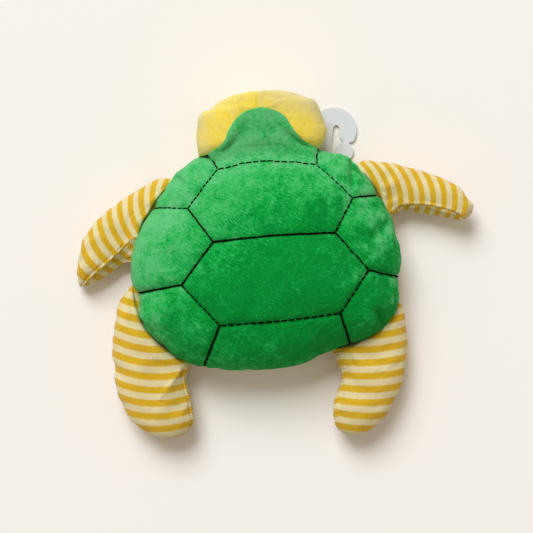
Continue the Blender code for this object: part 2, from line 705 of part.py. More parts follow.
# Tag pin: a filament with a round end that holds the hang hook under the shell's edge
pin_angle = math.radians(PIN_ANGLE_DEG)
pin_radius = float(shell_outline(pin_angle)) - PIN_INSET
pin_place = pin_radius * np.array([math.cos(pin_angle), math.sin(pin_angle)])
belly_edge = float(shell_outline(pin_angle)) - seam_inset(0)
belly_flat = float(shell_outline(pin_angle)) - BELLY_ROUNDING
belly_slope = math.asin((pin_radius - PIN_RADIUS - belly_flat) / (belly_edge - belly_flat))
pin_top = low_seam * (1 - math.cos(belly_slope)) - CLEARANCE
hook_floor = PIN_END_LIFT + PIN_END_THICKNESS + CLEARANCE
PIN_SIDES = 12
pin_profile = (
    (0, PIN_END_LIFT), (PIN_END_RADIUS, PIN_END_LIFT), (PIN_END_RADIUS, PIN_END_LIFT + PIN_END_THICKNESS),
    (PIN_RADIUS, PIN_END_LIFT + PIN_END_THICKNESS), (PIN_RADIUS, pin_top), (0, pin_top))
pin = place("hook_tag_pin", turned_mesh("hook_tag_pin", pin_profile, PIN_SIDES), grey_plastic)
pin.location = (*pin_place, 0)


# Hang hook: a flat plate with an arch, a slot and a round lobe, which swings about the tag pin
def arc(centre, radius, start_deg, end_deg, count):
    """Points of an arc from one angle to the other."""
    turn = np.radians(np.linspace(start_deg, end_deg, count))
    return [(centre[0] + radius * math.cos(a), centre[1] + radius * math.sin(a)) for a in turn]


hook_pivot = joint_empty("hook_swing", (*pin_place, hook_floor), math.radians(HOOK_TURN_DEG))
shank_half = HOOK_STROKE / 2
arch_radius = HOOK_STROKE + HOOK_SLOT_WIDTH / 2
arch_centre = (arch_radius - shank_half, HOOK_ARCH_ALONG)
lobe_centre = (arch_centre[0] + arch_radius - HOOK_STROKE * HOOK_LOBE_SIDE_SHARE, HOOK_LOBE_ALONG)
neck_along = lobe_centre[1] + HOOK_LOBE_RADIUS + HOOK_NECK_HALF_WIDTH / 2
outline = arc((0, 0), HOOK_EYE_RADIUS, 180, 360, 9)
outline += [(shank_half, HOOK_EYE_RADIUS + HOOK_NECK_HALF_WIDTH)]
outline += arc(arch_centre, HOOK_SLOT_WIDTH / 2, 180, 0, 9)
outline += [(lobe_centre[0] - HOOK_NECK_HALF_WIDTH, neck_along)]
outline += arc(lobe_centre, HOOK_LOBE_RADIUS, 90 + HOOK_LOBE_OPEN_DEG, 450 - HOOK_LOBE_OPEN_DEG, 17)
outline += [(lobe_centre[0] + HOOK_NECK_HALF_WIDTH, neck_along)]
outline += arc(arch_centre, arch_radius, HOOK_ARCH_END_DEG, 180, 19)
outline += [(-shank_half, HOOK_EYE_RADIUS + HOOK_NECK_HALF_WIDTH)]
hook_shape = bmesh.new()
face = hook_shape.faces.new([hook_shape.verts.new((x, y, 0)) for x, y in outline])
raised = bmesh.ops.extrude_face_region(hook_shape, geom=[face])["geom"]
lifted = [item for item in raised if isinstance(item, bmesh.types.BMVert)]
bmesh.ops.translate(hook_shape, verts=lifted, vec=(0, 0, HOOK_THICKNESS))
bmesh.ops.recalc_face_normals(hook_shape, faces=hook_shape.faces)
hook_mesh = bpy.data.meshes.new("hang_hook")
hook_shape.to_mesh(hook_mesh)
hook_shape.free()
hook = place("hang_hook", hook_mesh, grey_plastic, hook_pivot)
hook_mesh.shade_flat()
eye_cut = turned_mesh("hook_eye_cutter", (
    (0, -HOOK_THICKNESS), (PIN_RADIUS + CLEARANCE, -HOOK_THICKNESS),
    (PIN_RADIUS + CLEARANCE, 2 * HOOK_THICKNESS), (0, 2 * HOOK_THICKNESS)), PIN_SIDES)
cutter = place("hook_eye_cutter", eye_cut, grey_plastic, hook_pivot)
cutter.hide_render = True
cutter.display_type = "WIRE"
cut = hook.modifiers.new("pin hole", "BOOLEAN")
cut.operation = "DIFFERENCE"
cut.object = cutter
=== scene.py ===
"""A plush turtle that lies on its belly, seen from straight above. Shapes are worked out in millimetres."""
import math

import bmesh
import bpy
import numpy as np
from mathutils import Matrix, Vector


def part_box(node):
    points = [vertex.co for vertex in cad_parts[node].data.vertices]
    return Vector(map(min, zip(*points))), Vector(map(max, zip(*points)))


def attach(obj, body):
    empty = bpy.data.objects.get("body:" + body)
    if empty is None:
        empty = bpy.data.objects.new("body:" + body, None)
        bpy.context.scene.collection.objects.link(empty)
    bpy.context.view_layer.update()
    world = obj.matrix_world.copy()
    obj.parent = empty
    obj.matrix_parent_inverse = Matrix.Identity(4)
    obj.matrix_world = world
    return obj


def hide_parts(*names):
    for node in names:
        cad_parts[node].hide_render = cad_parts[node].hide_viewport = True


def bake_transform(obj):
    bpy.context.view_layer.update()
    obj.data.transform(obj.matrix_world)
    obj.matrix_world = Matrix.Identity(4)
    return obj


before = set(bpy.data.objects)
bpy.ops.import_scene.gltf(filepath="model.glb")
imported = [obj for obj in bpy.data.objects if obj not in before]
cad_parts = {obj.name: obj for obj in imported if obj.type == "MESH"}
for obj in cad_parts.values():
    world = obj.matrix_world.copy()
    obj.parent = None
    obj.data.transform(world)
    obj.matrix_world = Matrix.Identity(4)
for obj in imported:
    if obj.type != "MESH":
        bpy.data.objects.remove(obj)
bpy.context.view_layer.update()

MM = 0.001

# View: the toy is looked at from straight above, from 1.2 m over the floor it lies on.
# The camera is turned a little, so that the head leans left in the picture.
VIEW_HEIGHT = 1.22
VIEW_WIDTH = 0.3944
camera_data = bpy.data.cameras.new("view_from_above")
camera_data.sensor_width = 36.0
camera_data.lens = camera_data.sensor_width * (VIEW_HEIGHT - 0.02) / VIEW_WIDTH
camera = bpy.data.objects.new("view_from_above", camera_data)
camera.location = (0.0001, -0.00335, VIEW_HEIGHT)
camera.rotation_euler = (0, 0, math.radians(-4.5))
bpy.context.scene.collection.objects.link(camera)
bpy.context.scene.camera = camera


# Floor: a sheet of warm white paper with a fine tooth, on which the toy lies.
# One large soft lamp beyond the head and to the left lights it, and the pale room fills the shadows.
def add(tree, kind, inputs=(), **settings):
    """A shader node of this kind with its settings, and its inputs as values or other nodes' sockets."""
    made = tree.nodes.new("ShaderNode" + kind)
    for key, value in settings.items():
        setattr(made, key, value)
    for key, value in dict(inputs).items():
        if isinstance(value, bpy.types.NodeSocket):
            tree.links.new(value, made.inputs[key])
        else:
            made.inputs[key].default_value = value
    return made


def reckon(tree, operation, *values, clamp=False):
    """The result of a Math node on these values or other nodes' sockets."""
    return add(tree, "Math", dict(enumerate(values)), operation=operation, use_clamp=clamp).outputs[0]


def scaled(tree, vector, scale):
    """A vector or colour times a number."""
    return add(tree, "VectorMath", {0: vector, "Scale": scale}, operation="SCALE").outputs[0]


def speckle(tree, place, scale, detail=2.0, rough=0.5):
    """The Noise Texture node at this place, with this many features a metre."""
    return add(tree, "TexNoise", {"Vector": place, "Scale": scale, "Detail": detail, "Roughness": rough})


def object_place(tree):
    """The socket of the piece's own coordinates."""
    return add(tree, "TexCoord").outputs["Object"]


def emboss(tree, shader, height, strength, distance):
    """A bump on the shader from a height, its strength and its depth in metres."""
    bump = add(tree, "Bump", {"Height": height, "Strength": strength, "Distance": distance})
    tree.links.new(bump.outputs[0], shader.inputs["Normal"])


def between_colours(tree, share, low, high):
    """A colour between two, by a share from 0 to 1."""
    ramp = add(tree, "ValToRGB", {"Fac": share})
    ramp.color_ramp.elements[0].color = (*low, 1)
    ramp.color_ramp.elements[1].color = (*high, 1)
    return ramp


def surface_material(name, roughness, specular=0.2):
    """A Principled material, its node tree and its shader node."""
    made = bpy.data.materials.new(name)
    made.use_nodes = True
    shader = made.node_tree.nodes["Principled BSDF"]
    shader.inputs["Roughness"].default_value = roughness
    shader.inputs["Specular IOR Level"].default_value = specular
    return made, made.node_tree, shader


paper, tree, shader = surface_material("warm_white_paper", 0.9, 0.1)
shader.inputs["Base Color"].default_value = (0.94, 0.89, 0.84, 1)
emboss(tree, shader, speckle(tree, object_place(tree), 700.0, 3.0).outputs["Fac"], 0.08, 0.0002)
FLOOR_HALF = 3
floor_mesh = bpy.data.meshes.new("paper_floor")
floor_corners = [(x * FLOOR_HALF, y * FLOOR_HALF, 0) for x, y in ((-1, -1), (1, -1), (1, 1), (-1, 1))]
floor_mesh.from_pydata(floor_corners, [], [(0, 1, 2, 3)])
floor_mesh.materials.append(paper)
floor = bpy.data.objects.new("paper_floor", floor_mesh)
bpy.context.scene.collection.objects.link(floor)

world = bpy.data.worlds.new("pale_room")
world.use_nodes = True
room = world.node_tree.nodes["Background"]
room.inputs["Color"].default_value = (1.0, 0.925, 0.785, 1)
room.inputs["Strength"].default_value = 0.41
bpy.context.scene.world = world


def lamp(name, size, power, place, aim, colour):
    """A square area lamp at a place, turned to aim at a point."""
    data = bpy.data.lights.new(name, "AREA")
    data.shape = "SQUARE"
    data.size = size
    data.energy = power
    data.color = colour
    made = bpy.data.objects.new(name, data)
    made.location = place
    direction = np.array(aim) - np.array(place)
    flat = math.hypot(direction[0], direction[1])
    heading = math.atan2(direction[1], direction[0])
    made.rotation_euler = (math.atan2(flat, -direction[2]), 0, heading - math.pi / 2)
    bpy.context.scene.collection.objects.link(made)


lamp("window", 7.4, 1740.0, (-2.9, 8.7, 9.9), (0, 0, 0.02), (0.88, 0.93, 1.0))

bpy.context.scene.view_settings.view_transform = "Standard"


# Shell: one dome of short green plush over firm stuffing. It swells over a rim that turns under to
# the seam at 18 mm. The stitched outlines draw it down into shallow valleys, and small creases
# show where the limbs and the hood are sewn in.
# Reach of the rim every 5 degrees from +X
RIM_REACH = np.array([
    98.4, 97.9, 97.7, 97.5, 97.3, 96.9, 97.2, 97.2, 97.5, 99.1, 96.7, 93.5,
    92.1, 90.7, 89.6, 88.6, 87.7, 87.5, 87.5, 87.5, 87.6, 88.3, 89.2, 90.8,
    92.7, 92.8, 93.1, 92.2, 91.7, 91.8, 92.0, 93.1, 94.8, 96.0, 97.2, 98.8,
    99.8, 100.1, 98.1, 99.5, 102.3, 101.6, 99.1, 97.4, 96.4, 94.5, 92.7, 90.3,
    86.9, 84.4, 82.1, 80.4, 79.5, 78.7, 78.4, 78.3, 78.7, 79.0, 79.1, 79.0,
    79.9, 82.5, 86.2, 90.4, 94.2, 98.4, 100.3, 101.9, 101.4, 99.8, 98.8, 99.4])
RIM_HEIGHT = 24.0
DOME_RISE = 41.0
DOME_POWER = 2.2
RIM_RADIUS = 8.0
RIM_TRIM = 0.8
SEAM_HEIGHT = 18.0
SEAM_DROP = RIM_HEIGHT - SEAM_HEIGHT
# Places in plan where the stitched outlines (L) turn and where their spokes (r) end at the rim
CORNERS = {
    "L1a": (-30.0, 69.7), "L1b": (41.9, 67.3), "L2a": (-53.6, 43.1), "L2b": (66.2, 41.7),
    "L3a": (-36.6, 17.4), "L3b": (51.2, 17.0), "L4a": (-61.7, -11.8), "L4b": (73.5, -11.6),
    "L5a": (-36.8, -42.8), "L5b": (50.4, -41.2), "r1": (-35.9, 82.6), "r2": (43.9, 80.4),
    "r3": (-79.5, 46.1), "r4": (85.4, 42.6), "r5": (-95.8, -15.3), "r6": (96.6, -18.8),
    "r7": (-51.3, -72.6), "r8": (57.6, -65.5)}
LINES = {
    "front": [("L1a", (-13.1, 72.7), (7.2, 72.9), (26.6, 70.3), "L1b"), ("L1b", "L2b"), ("L2b", "L3b"),
              ("L3b", (7.2, 18.6), "L3a"), ("L3a", "L2a"), ("L2a", "L1a")],
    "back": [("L3a", "L4a"), ("L4a", "L5a"), ("L5a", (8.8, -43.2), "L5b"), ("L5b", "L4b"), ("L4b", "L3b")],
    "front_left": [("L1a", "r1")], "front_right": [("L1b", "r2")], "side_left": [("L2a", "r3")],
    "side_right": [("L2b", "r4")], "waist_left": [("L4a", "r5")], "waist_right": [("L4b", "r6")],
    "back_left": [("L5a", "r7")], "back_right": [("L5b", "r8")]}
# Each crease's start and end in plan, its width and its depth
CREASES = [
    ((-60.3, 66.9), (-55.2, 62.2), 1.0, 1.9), ((68.6, 68.0), (67.1, 50.5), 2.4, 2.2),
    ((80.3, -50.1), (78.0, -42.0), 2.2, 2.4), ((-95.0, -36.1), (-85.9, -44.0), 2.2, 1.6),
    ((-69.0, 56.0), (-66.0, 50.0), 3.0, 0.7), ((-29.0, 86.0), (-19.0, 89.0), 3.0, 0.5),
    ((38.0, 84.0), (28.0, 88.0), 3.0, 0.5), ((88.0, 20.0), (80.0, 12.0), 4.0, 1.0)]


QUILT_RISE, QUILT_WIDTH = 1.2, 11.0
VALLEY_DEPTH, VALLEY_WIDTH = 1.0, 2.2
# Unevenness of the stuffing and the pile: height, cell size and seed of each layer
SHELL_LUMPS = ((0.7, 26.0, 1), (0.25, 10.0, 2), (0.12, 3.6, 3), (0.1, 1.7, 4))


def value_noise(points, cell, seed):
    """Smooth noise from -1 to 1: random numbers on a lattice of this cell size, eased between its corners."""
    spot = points / cell
    low = np.floor(spot).astype(np.int64)
    part = spot - low
    part = part * part * (3 - 2 * part)
    total = np.zeros(points.shape[:-1])
    for corner in np.ndindex(2, 2, 2):
        place = low + corner
        key = (place[..., 0] * 73856093) ^ (place[..., 1] * 19349663) ^ (place[..., 2] * 83492791)
        key = key ^ (seed * 2654435)
        key = (key ^ (key >> 13)) * 1274126177 & 0xFFFFFFFF
        key = (key ^ (key >> 16)) * 2246822519 & 0xFFFFFFFF
        weight = np.prod(np.where(corner, part, 1 - part), axis=-1)
        total += weight * ((key >> 8) % 65536 / 32767.5 - 1)
    return total


def lumps(points, layers):
    """Sum of noises over the points, each given by its height, cell size and seed."""
    return sum(height * value_noise(points, cell, seed) for height, cell, seed in layers)


def spline(a, b, c, d, t):
    """Catmull-Rom: the cubic from b to c whose slopes are half the steps a to c and b to d."""
    return (2 * b + (c - a) * t + (2 * a - 5 * b + 4 * c - d) * t**2 + (3 * b - a - 3 * c + d) * t**3) / 2


def closed_curve(reaches, angle):
    """The reach at an angle from +X: a smooth closed curve through reaches at equal steps of angle."""
    count = len(reaches)
    spot = (np.asarray(angle) / (2 * math.pi) % 1) * count
    low = np.floor(spot).astype(int)
    return spline(*(reaches[(low + k) % count] for k in (-1, 0, 1, 2)), spot - low)


def rim_at(angle):
    """The rim's reach at an angle."""
    return closed_curve(RIM_REACH, angle)


def distance_to(flat, start, end):
    """Distance in plan from each point to the straight line between two places."""
    start, end = np.array(start), np.array(end)
    run = end - start
    t = np.clip((flat - start) @ run / (run @ run), 0, 1)
    return np.linalg.norm(flat - start - t[..., None] * run, axis=-1)


def folds(flat, creases):
    """Depth of the creases at places in plan: a bell across each, given by its start, end, width and depth."""
    return sum(
        depth * np.exp(-(distance_to(flat, start, end) / width) ** 2) for start, end, width, depth in creases)


def corner_places(line):
    """The places of a line whose points are corner names or places."""
    return [np.array(CORNERS[p] if isinstance(p, str) else p) for p in line]


def quilting(flat):
    """How far the stuffing stands up: down in a valley along each stitched line and crease, up between."""
    nearest = np.full(flat.shape[:-1], 1e3)
    for lines in LINES.values():
        for line in lines:
            places = corner_places(line)
            for a, b in zip(places, places[1:]):
                nearest = np.minimum(nearest, distance_to(flat, a, b))
    height = QUILT_RISE * (1 - np.exp(-(nearest / QUILT_WIDTH) ** 2))
    return height - VALLEY_DEPTH * np.exp(-(nearest / VALLEY_WIDTH) ** 2) - folds(flat, CREASES)


def dome_profile(share):
    """Reach as a share of the rim, height, and the two parts of the normal, along a superellipse."""
    reach = np.sin(np.clip(share, 0, 1) * math.pi / 2)
    arch = (1 - reach**DOME_POWER) ** (1 / DOME_POWER)
    return reach, RIM_HEIGHT + DOME_RISE * arch, reach ** (DOME_POWER - 1), arch ** (DOME_POWER - 1)


def dome_surface(share, angle):
    """Points of the plush: the dome up to share 1, then the rim's undercut, moved out by quilting and pile."""
    rim = rim_at(angle) - RIM_TRIM
    reach, height, out, up = dome_profile(share)
    turn = np.clip(share - 1, 0, 1) * math.pi / 2
    radius = rim * reach - RIM_RADIUS * (1 - np.cos(turn))
    height = height - RIM_RADIUS * np.sin(turn)
    normal_out = np.where(share > 1, np.cos(turn), out / rim)
    normal_up = np.where(share > 1, -np.sin(turn), up / DOME_RISE)
    size = np.hypot(normal_out, normal_up)
    flat = np.stack([np.cos(angle), np.sin(angle)], axis=-1)
    points = np.concatenate([radius[..., None] * flat, height[..., None]], axis=-1)
    normal = np.concatenate([(normal_out / size)[..., None] * flat, (normal_up / size)[..., None]], axis=-1)
    lump = (quilting(points[..., :2]) + lumps(points, SHELL_LUMPS)) * np.clip((1.6 - share) / 0.5, 0, 1)
    return points + lump[..., None] * normal


def square_disc(count, edge):
    """Share and angle over a square grid: rings of the square are rings of the disc, so no pole is pinched."""
    line = np.linspace(-1, 1, count)
    u, v = np.meshgrid(line, line, indexing="ij")
    big = np.maximum(np.abs(u), np.abs(v))
    wide = np.abs(u) >= np.abs(v)
    with np.errstate(divide="ignore", invalid="ignore"):
        slope = np.where(wide, v / u, u / v)
    slope = np.nan_to_num(slope) * math.pi / 4
    beside, above = slope + np.where(u < 0, math.pi, 0), math.pi / 2 - slope + np.where(v < 0, math.pi, 0)
    return big * edge, np.where(wide, beside, above)


def grid_quads(rows, columns, wrap=False):
    """Corner numbers of a grid's quads, row by row; wrap joins the last column to the first."""
    j = np.arange(columns if wrap else columns - 1)
    near = np.arange(rows - 1)[:, None] * columns
    k = (j + 1) % columns
    return np.stack([near + j, near + k, near + columns + k, near + columns + j], axis=-1).reshape(-1, 4)


PRESSURE = 4.0
FIRST_FRAME, LAST_FRAME = 1, 20
GRID_STEP = 4


def blown_up(grid, held, wrap, growth, cap):
    """Moves in mm of a padded panel's cloth: a coarse copy of its grid, cut a little too large, is blown up
    like a pillow by Blender's cloth simulation while its seams are held, and no point moves past the cap.
    The moves are then eased between the coarse points and smoothed."""
    rows, columns = grid.shape[:2]
    r = np.round(np.linspace(0, rows - 1, rows // GRID_STEP)).astype(int)
    c = np.linspace(0, columns - (0 if wrap else 1), columns // GRID_STEP, endpoint=not wrap)
    c = np.round(c).astype(int)
    start = grid[np.ix_(r, c)]
    faces = grid_quads(len(r), len(c), wrap)
    spots = start.reshape(-1, 3)
    out = np.cross(spots[faces[:, 2]] - spots[faces[:, 0]], spots[faces[:, 3]] - spots[faces[:, 1]])
    if np.sum(out * (spots[faces[:, 0]] - spots.mean(axis=0))) < 0:
        faces = faces[:, ::-1]
    cloth = piece("cloth_copy", spots, faces.tolist(), [])
    pins = cloth.vertex_groups.new(name="held")
    weights = held[np.ix_(r, c)].ravel()
    for level in np.linspace(0.1, 1, 10):
        pins.add(np.nonzero(np.abs(weights - level) <= 0.05)[0].tolist(), float(level), "REPLACE")
    settings = cloth.modifiers.new("pillow", "CLOTH").settings
    settings.use_pressure = True
    settings.uniform_pressure_force = PRESSURE
    settings.shrink_min = -growth
    settings.vertex_group_mass = "held"
    settings.effector_weights.gravity = 0.0
    scene = bpy.context.scene
    for frame_number in range(FIRST_FRAME, LAST_FRAME + 1):
        scene.frame_set(frame_number)
    blown = cloth.evaluated_get(bpy.context.evaluated_depsgraph_get())
    ends = np.empty(len(spots) * 3)
    blown.data.vertices.foreach_get("co", ends)
    scene.frame_set(FIRST_FRAME)
    cloth_mesh = cloth.data
    bpy.data.objects.remove(cloth)
    bpy.data.meshes.remove(cloth_mesh)
    move = ends.reshape(start.shape) / MM - start
    size = np.linalg.norm(move, axis=-1)[..., None]
    move *= cap * np.tanh(size / cap) / np.maximum(size, 1e-9)
    if wrap:
        move, c = np.concatenate([move, move[:, :1]], axis=1), np.append(c, columns)
    for axis, marks, count in ((0, r, rows), (1, c, columns)):
        spot = np.arange(count)
        high = np.clip(np.searchsorted(marks, spot, side="right"), 1, len(marks) - 1)
        part = (spot - marks[high - 1]) / (marks[high] - marks[high - 1])
        part = (part * part * (3 - 2 * part)).reshape((-1, 1, 1) if axis == 0 else (1, -1, 1))
        move = np.take(move, high - 1, axis) * (1 - part) + np.take(move, high, axis) * part
    for _ in range(GRID_STEP):
        around = np.pad(move, ((0, 0), (1, 1), (0, 0)), "wrap" if wrap else "edge")
        move = (around[:, :-2] + 2 * around[:, 1:-1] + around[:, 2:]) / 4
        beside = np.pad(move, ((1, 1), (0, 0), (0, 0)), "edge")
        move = (beside[:-2] + 2 * beside[1:-1] + beside[2:]) / 4
    return move


MERGE = 0.0001


def piece(name, points, faces, materials, fabric=None):
    """A smooth-shaded object from points in mm and faces, with an optional fabric map."""
    mesh = bpy.data.meshes.new(name)
    points = np.asarray(points).reshape(-1, 3) * MM
    mesh.from_pydata(points.tolist(), [], [list(map(int, face)) for face in faces])
    for item in materials:
        mesh.materials.append(item)
    if fabric is not None:
        layer = mesh.uv_layers.new(name="fabric")
        layer.data.foreach_set("uv", np.asarray(fabric, dtype=np.float32).ravel())
    mesh.shade_smooth()
    made = bpy.data.objects.new(name, mesh)
    bpy.context.scene.collection.objects.link(made)
    return made


def face_outward(mesh, merge=None):
    """Point every face outward, after merging points nearer than this distance in mm, if one is given."""
    shape = bmesh.new()
    shape.from_mesh(mesh)
    if merge:
        bmesh.ops.remove_doubles(shape, verts=shape.verts, dist=merge * MM)
        bmesh.ops.dissolve_degenerate(shape, edges=shape.edges, dist=merge * MM)
    bmesh.ops.recalc_face_normals(shape, faces=shape.faces)
    shape.to_mesh(mesh)
    shape.free()
    mesh.shade_smooth()


def grid_border(rows, columns):
    """Point numbers round the border of a grid, once round."""
    number = np.arange(rows * columns).reshape(rows, columns)
    return np.concatenate([number[0, :-1], number[:-1, -1], number[-1, :0:-1], number[:0:-1, 0]])


def fan(ring, centre):
    """Triangles from a closed ring of point numbers to one centre point."""
    return np.stack([ring, np.roll(ring, -1), np.full_like(ring, centre)], axis=1).tolist()


def closed_disc(name, grid, centre, material):
    """A closed solid from a square grid sheet: its border is joined to one centre point inside it."""
    count = grid.shape[0]
    points = np.vstack([grid.reshape(-1, 3), [centre]])
    faces = grid_quads(count, count).tolist() + fan(grid_border(count, count), count * count)
    made = piece(name, points, faces, [material])
    face_outward(made.data, MERGE)
    return made


# Size in metres of the streaks that the brushed pile forms: across its lay, along it and in depth
STREAK_SIZE = (0.0026, 0.0008, 0.0015)


def plush_material(name, tones, sheen_tone, painted_sheen, lay):
    """Short pile: four tones from deep to pale by the paleness stored on the piece, which holds painted light
    and shade beside the nap's own patches, broken by streaks along its lay in degrees, and a painted sheen: the
    sheen tone mixed into the colour where the pile is seen edge on."""
    made, tree, shader = surface_material(name, 0.95, 0.05)
    place = object_place(tree)
    drift = speckle(tree, place, 60.0, 1.0).outputs["Color"]
    drift = add(tree, "VectorMath", {0: drift, 1: (0.5, 0.5, 0.5)}, operation="SUBTRACT").outputs[0]
    swept = add(tree, "VectorMath", {0: place, 1: scaled(tree, drift, 0.005)}, operation="ADD").outputs[0]
    combed = add(
        tree, "Mapping", {"Vector": swept, "Rotation": (0, 0, math.radians(lay)), "Scale": STREAK_SIZE},
        vector_type="TEXTURE")
    streak = speckle(tree, combed.outputs[0], 1.0, 3.0, 0.75).outputs["Fac"]
    clump = speckle(tree, swept, 620.0, 2.0, 0.6).outputs["Fac"]
    # the stored paleness holds painted light, shade and sheen as well as the nap's own patches; the ramp turns
    # it into colour
    nap_and_light = add(tree, "Attribute", attribute_name="nap_and_light", attribute_type="GEOMETRY").outputs["Fac"]
    nap_and_light = reckon(tree, "MULTIPLY_ADD", clump, 0.6, reckon(tree, "MULTIPLY_ADD", streak, 2.0, nap_and_light))
    nap_and_light = reckon(tree, "SUBTRACT", nap_and_light, 1.3, clamp=True)
    dye_and_light = between_colours(tree, nap_and_light, tones[0], tones[3])
    for at, tone in ((0.3, tones[1]), (0.65, tones[2])):
        dye_and_light.color_ramp.elements.new(at).color = (*tone, 1)
    body = scaled(tree, dye_and_light.outputs["Color"], reckon(tree, "MULTIPLY_ADD", streak, 0.55, 0.73))
    # painted sheen: the sheen tone is mixed into the base colour where the pile is seen edge on, more where it
    # is pale
    facing = add(tree, "LayerWeight", {"Blend": 0.16}).outputs["Facing"]
    brushed = reckon(tree, "MULTIPLY_ADD", nap_and_light, 1.1, 0.25, clamp=True)
    edge = reckon(tree, "MULTIPLY", reckon(tree, "MULTIPLY", facing, painted_sheen), brushed)
    colour = add(tree, "Mix", {"Factor": edge, "A": body, "B": (*sheen_tone, 1)}, data_type="RGBA")
    tree.links.new(colour.outputs[2], shader.inputs["Base Color"])
    emboss(tree, shader, reckon(tree, "MULTIPLY_ADD", clump, 0.5, streak), 0.45, 0.001)
    shader.inputs["Sheen Weight"].default_value = 0.08
    shader.inputs["Sheen Roughness"].default_value = 0.5
    shader.inputs["Sheen Tint"].default_value = (*sheen_tone, 1)
    return made


GREEN_PATCHES = ((0.7, 17.0, 31), (0.8, 7.0, 32), (0.9, 3.0, 33))


def green_nap_and_light(points):
    """Paleness of the green pile, with painted light and shade in it: deep on the crown, painted sheen pales it
    to the rim, most so on the upper left and on the right, painted light pales the upper left, which faces the
    lamp, and painted shade deepens it low on the right and towards the bottom; random patches of brushed pile
    break it up."""
    reach = np.linalg.norm(points[:, :2], axis=1)
    angle = np.arctan2(points[:, 1], points[:, 0])
    share = np.minimum(reach / rim_at(angle), 1.1)
    # painted sheen: paler to the rim, most towards the lamp on the upper left
    pale = -0.06 + share**2 * (0.28 + 0.16 * np.cos(angle - math.radians(125)))
    # painted light: paler over the upper left, which faces the lamp
    pale += 0.48 * np.clip((points[:, 1] * 1.2 - points[:, 0]) / 100, 0, 1)
    # painted sheen on the right rim, behind the front
    right = np.clip(np.cos(angle - 0.1), 0, 1) * share**2 * np.clip((78 - points[:, 1]) / 20, 0, 1)
    # painted shade low on the right and towards the bottom, away from the lamp, and more painted sheen to the
    # rim
    painted_shade_low_right = np.clip(np.cos(2 * (angle + 0.75)), 0, 1) * (points[:, 0] > 0) * share**2
    pale += 0.37 * right - 0.72 * painted_shade_low_right + 0.12 * share**2 - 0.10 * np.clip(-points[:, 1] / 80, 0, 1)
    rough = 0.14 + 0.20 * share**2 + 0.25 * right
    return np.clip(pale + rough * lumps(points, GREEN_PATCHES), -0.1, 1.15)


def finished_points(made):
    """The points of a piece's mesh, in mm."""
    spots = np.empty(len(made.data.vertices) * 3)
    made.data.vertices.foreach_get("co", spots)
    return spots.reshape(-1, 3) / MM


def paint_nap_and_light(made, nap_and_light):
    """Store the paleness of the pile, with the painted light and shade it holds, on every point of a finished
    piece.
    """
    layer = made.data.attributes.new("nap_and_light", "FLOAT", "POINT")
    layer.data.foreach_set("value", nap_and_light(finished_points(made)).astype(np.float32))


GREEN_TONES = ((0.0015, 0.25, 0.030), (0.0045, 0.37, 0.058), (0.050, 0.45, 0.115), (0.108, 0.50, 0.172))
# the tone after the four tones is painted sheen, mixed in where the pile is seen edge on, and the shader's
# sheen tint
green_plush = plush_material("green_plush", GREEN_TONES, (0.20, 0.50, 0.25), 0.45, -36)
SHELL_GRID = 314
SHELL_EDGE = 1.54
shell_share, shell_angle = square_disc(SHELL_GRID, SHELL_EDGE)
shell_grid = dome_surface(shell_share, shell_angle)
held = np.clip((shell_share - 1.05) / 0.2, 0, 1)
for line in LINES.values():
    for stretch in line:
        places = corner_places(stretch)
        for start, end in zip(places, places[1:]):
            held = np.maximum(held, np.exp(-(distance_to(shell_grid[..., :2], start, end) / 2.0) ** 4))
shell_grid = shell_grid + blown_up(shell_grid, held, False, 0.02, 0.9)
shell = closed_disc("shell_plush", shell_grid, (0, 0, 20.0), green_plush)
# the shell's paleness carries painted light, shade and sheen
paint_nap_and_light(shell, green_nap_and_light)
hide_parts("shell_top_panel", "shell_filling")
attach(shell, "shell")


# Belly: a panel of the limbs' cream jersey without its bands, sewn to the shell all round at the seam.
# The stuffing presses it flat where the toy rests, and the seam gathers it a little at its edge.
BELLY_TURN = 24.0
BELLY_CLEAR = 0.05
FLAT_SHARE = 0.6


def belly_surface(share, angle):
    """Points of the belly: flat out to 24 mm from the rim, then a quarter ellipse up to the seam."""
    edge = rim_at(angle) - RIM_RADIUS * (1 - math.sqrt(1 - (SEAM_DROP / RIM_RADIUS) ** 2)) + 0.3
    flat_reach = edge - BELLY_TURN
    inner = np.clip(share / FLAT_SHARE, 0, 1)
    turn = np.clip((share - FLAT_SHARE) / (1 - FLAT_SHARE), 0, 1) * math.pi / 2
    radius = flat_reach * inner + (edge - flat_reach) * np.sin(turn)
    height = BELLY_CLEAR + (SEAM_HEIGHT - BELLY_CLEAR) * (1 - np.cos(turn))
    points = np.stack([radius * np.cos(angle), radius * np.sin(angle), height], axis=-1)
    ripple = np.sin(angle * 60 + 2 * np.sin(angle * 7)) * np.exp(-((SEAM_HEIGHT - height) / 4.0) ** 2)
    points[..., :2] *= (1 - 0.006 * (ripple * (turn > 0)))[..., None]
    return points


RIB_PITCH = 1.25
BAND_PITCH = 9.8


